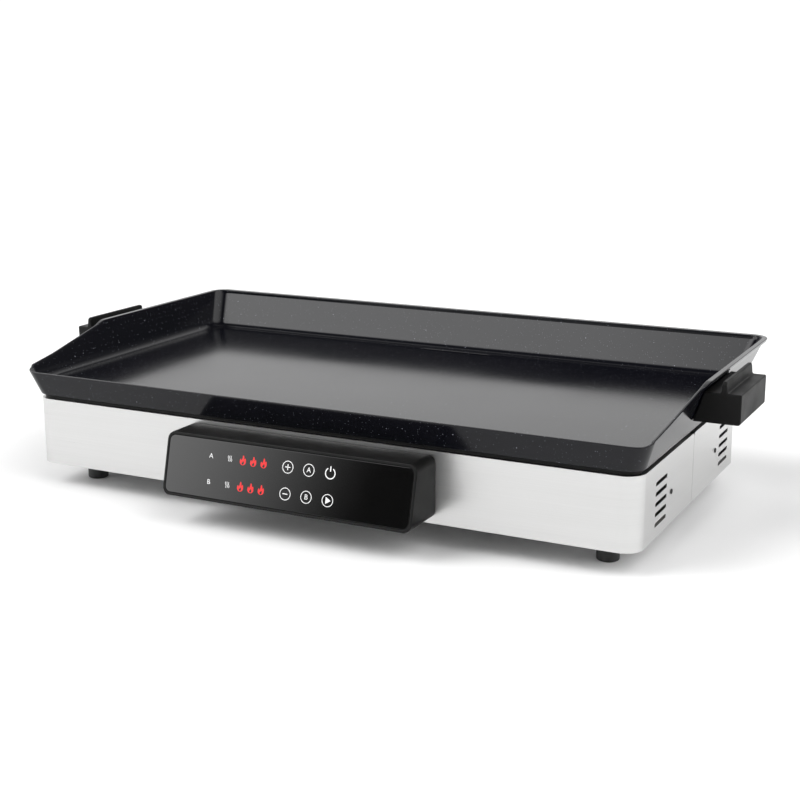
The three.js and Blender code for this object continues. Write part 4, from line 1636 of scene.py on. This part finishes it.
    def heat_mark(self, name: str, x: float, y: float) -> None:
        """Three short rising waves."""
        waves = Solid()
        steps, height, half, swing = 12, 5.0 * MM, 0.24 * MM, 0.5 * MM
        for offset in (-1.5 * MM, 0, 1.5 * MM):
            shares = [i / steps for i in range(steps + 1)]
            line = [(offset + swing * math.sin(math.tau * t), height * (t - 0.5)) for t in shares]
            left = [(px - half, py) for px, py in line]
            right = [(px + half, py) for px, py in reversed(line)]
            waves.with_solid(Solid.drawn(right[::-1] + left[::-1], self.print_height))
        self.put(name, waves, x, y)

    def flame_mark(self, name: str, x: float, y: float) -> None:
        """A flame with a dark heart, lit red."""
        curve = bpy.data.curves.new(name, "CURVE")
        curve.dimensions = "2D"
        curve.fill_mode = "BOTH"
        curve.extrude = self.print_height / 2
        curve.resolution_u = 8
        outer = [(0.1, 5.0), (1.3, 2.8), (1.6, 1.3), (2.3, 2.2), (3.5, -0.6), (2.6, -3.6)]
        outer += [(0.0, -4.7), (-2.6, -3.6), (-3.5, -0.9), (-2.4, 1.4), (-2.0, 0.2)]
        outer += [(-0.9, 1.6), (-0.5, 3.4)]
        heart = [(0.2, -0.6), (1.3, -2.2), (1.0, -3.6), (0.0, -4.1), (-1.1, -3.5)]
        heart += [(-1.2, -2.3), (-0.3, -1.8)]
        for outline in (outer, heart):
            spline = curve.splines.new("BEZIER")
            spline.bezier_points.add(len(outline) - 1)
            spline.use_cyclic_u = True
            for point, (px, py) in zip(spline.bezier_points, outline):
                point.co = (px * self.flame_scale, py * self.flame_scale, 0)
                point.handle_left_type = "AUTO"
                point.handle_right_type = "AUTO"
        dress(mesh_of_curve(name, curve, self.on_face(x, y)), self.flame, Body.BASE)

    def power_mark(self, name: str, x: float, y: float) -> None:
        """A circle open at the top with a stroke through the gap."""
        inner, outer = self.key_radius - 1.3 * MM, self.key_radius - 0.4 * MM
        high = self.print_height
        gap = math.radians(64)
        profile = [(inner, 0), (outer, 0), (outer, high), (inner, high)]
        arc = Solid.turned(profile, 44, math.tau - gap)
        arc.moved(Matrix.Rotation(math.pi / 2 + gap / 2, 4, "Z"))
        arc.with_solid(self.bar(1.0 * MM, 4.6 * MM).shifted(0, self.key_radius - 1.6 * MM))
        self.put(name, arc, x, y)

    def build_symbols(self) -> None:
        """Both rows of symbols, one row for each heating zone."""
        step_x, zone_x, last_x = self.key_x
        for zone, y, sign in (("a", self.row, "plus"), ("b", -self.row, "minus")):
            self.letter(f"zone_label_{zone}", zone.upper(), self.label_size, self.label_x, y)
            self.heat_mark(f"heat_mark_{zone}", self.heat_x, y)
            for number, x in enumerate(self.flame_x, 1):
                self.flame_mark(f"flame_{zone}_{number}", x, y)
            self.ring(f"key_{sign}_ring", step_x, y)
            self.put(f"key_{sign}_bar", self.bar(5.0 * MM, 0.8 * MM), step_x, y)
            self.ring(f"key_zone_{zone}_ring", zone_x, y)
            self.letter(f"key_zone_{zone}_letter", zone.upper(), self.key_letter_size, zone_x, y)
        for half, shift in (("upper", 1.5 * MM), ("lower", -1.5 * MM)):
            self.put(f"key_plus_{half}", self.bar(0.8 * MM, 2.0 * MM), step_x, self.row + shift)
        self.power_mark("key_power", last_x, self.row)
        self.ring("key_start_ring", last_x, -self.row)
        triangle = [(-1.8 * MM, -2.9 * MM), (3.1 * MM, 0), (-1.8 * MM, 2.9 * MM)]
        self.put("key_start_triangle", Solid.drawn(triangle, self.print_height), last_x, -self.row)

    def build(self) -> None:
        """Builds the case, the glass and its symbols."""
        self.build_wedge()
        self.build_glass()
        self.build_symbols()


# ---- Inside ------------------------------------------------------------------------------


@dataclass
class Heating:
    """The two tubular heaters, and the plate sensors that stand in them."""

    radius: float = 3.3 * MM
    sides: int = 20
    height_above_base: float = 4.4 * MM
    inner: float = 25 * MM
    runs: tuple = (-100 * MM, -35 * MM, 35 * MM, 100 * MM)
    turn_x: float = 223 * MM
    drop: float = 16 * MM
    end_drop: float = 35.2 * MM
    sheath: Finish = field(default_factory=HeaterSheath)
    turn_gap: float = 8 * MM
    turn_steps: int = 24
    bend_steps: int = 8
    plating: Finish = field(default_factory=ZincScrew)

    def route(self, sign: int) -> list[Vector]:
        """One heater's centre line: three turns, and both ends led down."""
        middle_y = housing_middle_y()
        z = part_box("plate_wall_rear")[0].z + self.height_above_base
        points = [Vector((self.inner, self.runs[0], -self.end_drop))]
        points += self.corner_arc(self.inner, self.runs[0], False)
        half = (self.runs[1] - self.runs[0]) / 2
        inner_x = self.inner + half + self.turn_gap
        for index, (x, bulge) in enumerate(((self.turn_x, 1), (inner_x, -1), (self.turn_x, 1))):
            middle = (self.runs[index] + self.runs[index + 1]) / 2
            for i in range(self.turn_steps + 1):
                turn = math.pi * i / self.turn_steps
                bend = Vector((bulge * half * math.sin(turn), -half * math.cos(turn), 0))
                points.append(Vector((x, middle, 0)) + bend)
        points += self.corner_arc(self.inner, self.runs[3], True)
        points.append(Vector((self.inner, self.runs[3], -self.end_drop)))
        return [Vector((sign * p.x, p.y + middle_y, p.z + z)) for p in points]

    def corner_arc(self, x: float, y: float, leaving: bool) -> list[Vector]:
        """The bend where an end turns down.

        Args:
            x: Where the upright end stands.
            y: Where the run lies, front to rear.
            leaving: Whether the heater goes down here, and doesn't come up.

        Returns:
            The bend's points, in the heater's own order.
        """
        arc = []
        for i in range(self.bend_steps + 1):
            turn = math.pi / 2 * i / self.bend_steps
            out, down = self.drop * (1 - math.cos(turn)), self.drop * (math.sin(turn) - 1)
            arc.append(Vector((x + out, y, down)))
        return arc[::-1] if leaving else arc

    def build_sensor(self, side: str) -> None:
        """One sensor: a stem with a collar and a wide cap that the plate rests on."""
        node = f"plate_sensor_{side}"
        low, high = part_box(node)
        middle = (low + high) / 2
        radius, height = (high.x - low.x) / 2, high.z - low.z
        shares = [(0, 0), (1, 0), (1, 0.05), (0.45, 0.06), (0.45, 0.72), (0.68, 0.74)]
        shares += [(0.7, 0.96), (0.66, 1.0), (0, 1.0)]
        profile = [(radius * out, low.z + height * up) for out, up in shares]
        sensor = Solid.turned(profile, 40).shifted(middle.x, middle.y).piece(f"sensor_{side}")
        soften(sensor, 0.15 * MM)
        dress(sensor, self.plating, Body.BASE, [node])

    def build(self) -> None:
        """Builds the heaters and sensors."""
        for side, sign in SIDES.items():
            heater = tube_mesh(f"tubular_heater_{side}", self.route(sign), self.radius, self.sides)
            soften(heater, 0)
            dress(heater, self.sheath, Body.BASE, [f"heating_element_{side}"])
            self.build_sensor(side)


class NodeKind(Enum):
    """Frame nodes that keep their shape, with softened edges, by finish."""

    SHEET = "sheet"
    COATED = "coated"
    PLASTIC = "plastic"
    BOARD = "board"
    RELAY = "relay"
    CERAMIC = "ceramic"
    SLEEVE = "sleeve"
    PLATED = "plated"


@dataclass
class InnerWorks:
    """The pieces whose frame shape is right: each is softened and finished."""

    pins: tuple = ("live", "neutral", "earth")
    sheet: Finish = field(default_factory=BrightSheet)
    plastic: Finish = field(default_factory=MouldedPlastic)

    def finish_of(self, kind: NodeKind) -> Finish:
        """The finish of each kind of node."""
        table = {
            NodeKind.SHEET: self.sheet,
            NodeKind.COATED: NonstickCoating(),
            NodeKind.PLASTIC: self.plastic,
            NodeKind.BOARD: BoardLacquer(),
            NodeKind.RELAY: RelayCase(),
            NodeKind.CERAMIC: Ceramic(),
            NodeKind.SLEEVE: BraidedSleeve(),
            NodeKind.PLATED: ZincScrew(),
        }
        return table[kind]

    def groups(self) -> dict[NodeKind, tuple[float, list[str]]]:
        """Each kind's edge width and nodes."""
        bridges = [f"heater_bridge_{side}_{at}" for side in SIDES for at in ("inner", "outer")]
        sheets = ["bottom_pan", "reflector_tray", "tray_guide", *bridges]
        sheets += [f"side_bracket_{side}" for side in SIDES]
        heater_leads = [f"heater_lead_{side}" for side in SIDES]
        leads = ["harness", *heater_leads, "mains_lead", "supply_lead"]
        return {
            NodeKind.SHEET: (0.2 * MM, sheets),
            NodeKind.COATED: (0.2 * MM, ["drain_chute"]),
            NodeKind.PLASTIC: (0.4 * MM, ["insulating_frame", "control_back_cover"]),
            NodeKind.BOARD: (0.15 * MM, ["power_board", "control_board"]),
            NodeKind.RELAY: (0.6 * MM, ["relay_left", "relay_right"]),
            NodeKind.CERAMIC: (0.3 * MM, ["terminal_block", "thermal_fuse"]),
            NodeKind.SLEEVE: (0.0, leads),
            NodeKind.PLATED: (0.25 * MM, [f"inlet_pin_{name}" for name in self.pins]),
        }

    def build(self, nodes: dict[str, bpy.types.Object]) -> None:
        """Builds every kept node's softened copy.

        Args:
            nodes: The frame's nodes by name.
        """
        for kind, (edge, names) in self.groups().items():
            for name in names:
                piece = Solid.of_node(nodes[name]).piece(f"{name}_finished")
                soften(piece, edge)
                dress(piece, self.finish_of(kind), Body.BASE, [name])


# ---- Back of the housing -----------------------------------------------------------------


@dataclass
class RearFittings:
    """The drip tray with its pull, and the appliance inlet."""

    edge: float = 0.8 * MM
    plastic: Finish = field(default_factory=MouldedPlastic)

    def build(self, nodes: dict[str, bpy.types.Object]) -> None:
        """Builds the tray and the inlet from their frame nodes.

        Args:
            nodes: The frame's nodes by name.
        """
        pieces = {
            "drip_tray": ("drip_tray_moulding", Body.TRAY),
            "power_inlet": ("appliance_inlet", Body.BASE),
        }
        for node, (name, body) in pieces.items():
            moulding = Solid.of_node(nodes[node]).piece(name)
            soften(moulding, self.edge, 3)
            dress(moulding, self.plastic, body, [node])


# ---- Studio ------------------------------------------------------------------------------


@dataclass(frozen=True)
class Softbox:
    """A round soft light far away, that fades from an inner to an outer angle, in degrees."""

    azimuth: float
    elevation: float
    inner: float
    outer: float
    strength: float

    def direction(self) -> Vector:
        """Where it is, as a direction. Azimuth 0 is in front, and turns to the left."""
        azimuth, elevation = math.radians(self.azimuth), math.radians(self.elevation)
        level = math.cos(elevation)
        return Vector((-math.sin(azimuth) * level, -math.cos(azimuth) * level, math.sin(elevation)))


@dataclass
class Studio:
    """A pale floor, a soft white surround and the camera. All angles are in degrees."""

    azimuth: float = 27.04
    elevation: float = 13.9
    roll: float = -0.2
    target: tuple = (14.22 * MM, 3.0 * MM, 81.53 * MM)
    distance: float = 1333.57 * MM
    lens: float = 64.07
    floor_size: float = 14.0
    ambient: float = 0.05
    horizon: tuple = (0.05, 0.11)
    softboxes: tuple = (
        Softbox(153, 0, 36, 62, 1.04),  # backdrop
        Softbox(58, 12, 20, 31, 3.7),  # low light from the left
        Softbox(49, 50, 6, 26, 5.4),  # high light from the left
        Softbox(-90, 38, 18, 52, 2.6),  # soft light from the right
    )

    def build_camera(self) -> None:
        """Places the camera by its angles about the target."""
        azimuth, elevation = math.radians(self.azimuth), math.radians(self.elevation)
        level = math.cos(elevation)
        back = Vector((math.sin(azimuth) * level, -math.cos(azimuth) * level, math.sin(elevation)))
        data = bpy.data.cameras.new("camera")
        data.sensor_width = 36.0
        data.lens = self.lens
        data.clip_start, data.clip_end = 0.05, 60.0
        camera = bpy.data.objects.new("camera", data)
        look = (-back).to_track_quat("-Z", "Y").to_matrix().to_4x4()
        roll = Matrix.Rotation(math.radians(self.roll), 4, "Z")
        spot = Matrix.Translation(Vector(self.target) + back * self.distance)
        camera.matrix_world = spot @ look @ roll
        bpy.context.scene.collection.objects.link(camera)
        bpy.context.scene.camera = camera

    def build_floor(self) -> None:
        """Lays a plain pale floor."""
        solid = Solid()
        bmesh.ops.create_grid(solid.bm, x_segments=1, y_segments=1, size=self.floor_size / 2)
        floor = solid.piece("floor")
        floor.data.materials.append(PaleFloor().material())

    def build_surround(self) -> None:
        """Sets the softboxes into a dim surround that is white near the horizon and below."""
        world = bpy.data.worlds.new("surround")
        world.use_nodes = True
        bpy.context.scene.world = world
        recipe = Recipe(world.node_tree)
        way = recipe.add("TexCoord").outputs["Generated"]
        total: object = self.ambient
        for softbox in self.softboxes:
            cosine = recipe.add("VectorMath", operation="DOT_PRODUCT")
            recipe.tree.links.new(way, cosine.inputs[0])
            cosine.inputs[1].default_value = softbox.direction()
            edge = (math.cos(math.radians(softbox.outer)), math.cos(math.radians(softbox.inner)))
            lit = recipe.span(cosine.outputs["Value"], edge, (0.0, softbox.strength), smooth=True)
            total = recipe.math("ADD", total, lit)
        height = recipe.add("SeparateXYZ", {"Vector": way}).outputs["Z"]
        glow = recipe.span(height, self.horizon, (1.0, 0.0), smooth=True)
        total = recipe.math("MAXIMUM", total, glow)
        background = recipe.tree.nodes["Background"]
        background.inputs["Color"].default_value = gray(1.0)
        recipe.tree.links.new(total, background.inputs["Strength"])

    def build(self) -> None:
        """Builds the whole studio."""
        bpy.context.scene.view_settings.view_transform = "Standard"
        self.build_camera()
        self.build_floor()
        self.build_surround()


def main() -> None:
    """Builds the griddle around its frame, then the studio."""
    logging.basicConfig(level=logging.INFO, format="%(name)s: %(message)s")
    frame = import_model()
    nodes = frame["nodes"]
    Studio().build()
    Housing().build()
    Underpinnings().build()
    InnerWorks().build(nodes)
    Heating().build()
    RearFittings().build(nodes)
    ControlPanel().build()
    CookingPlate().build()
    Handles().build()


if __name__ == "__main__":
    main()
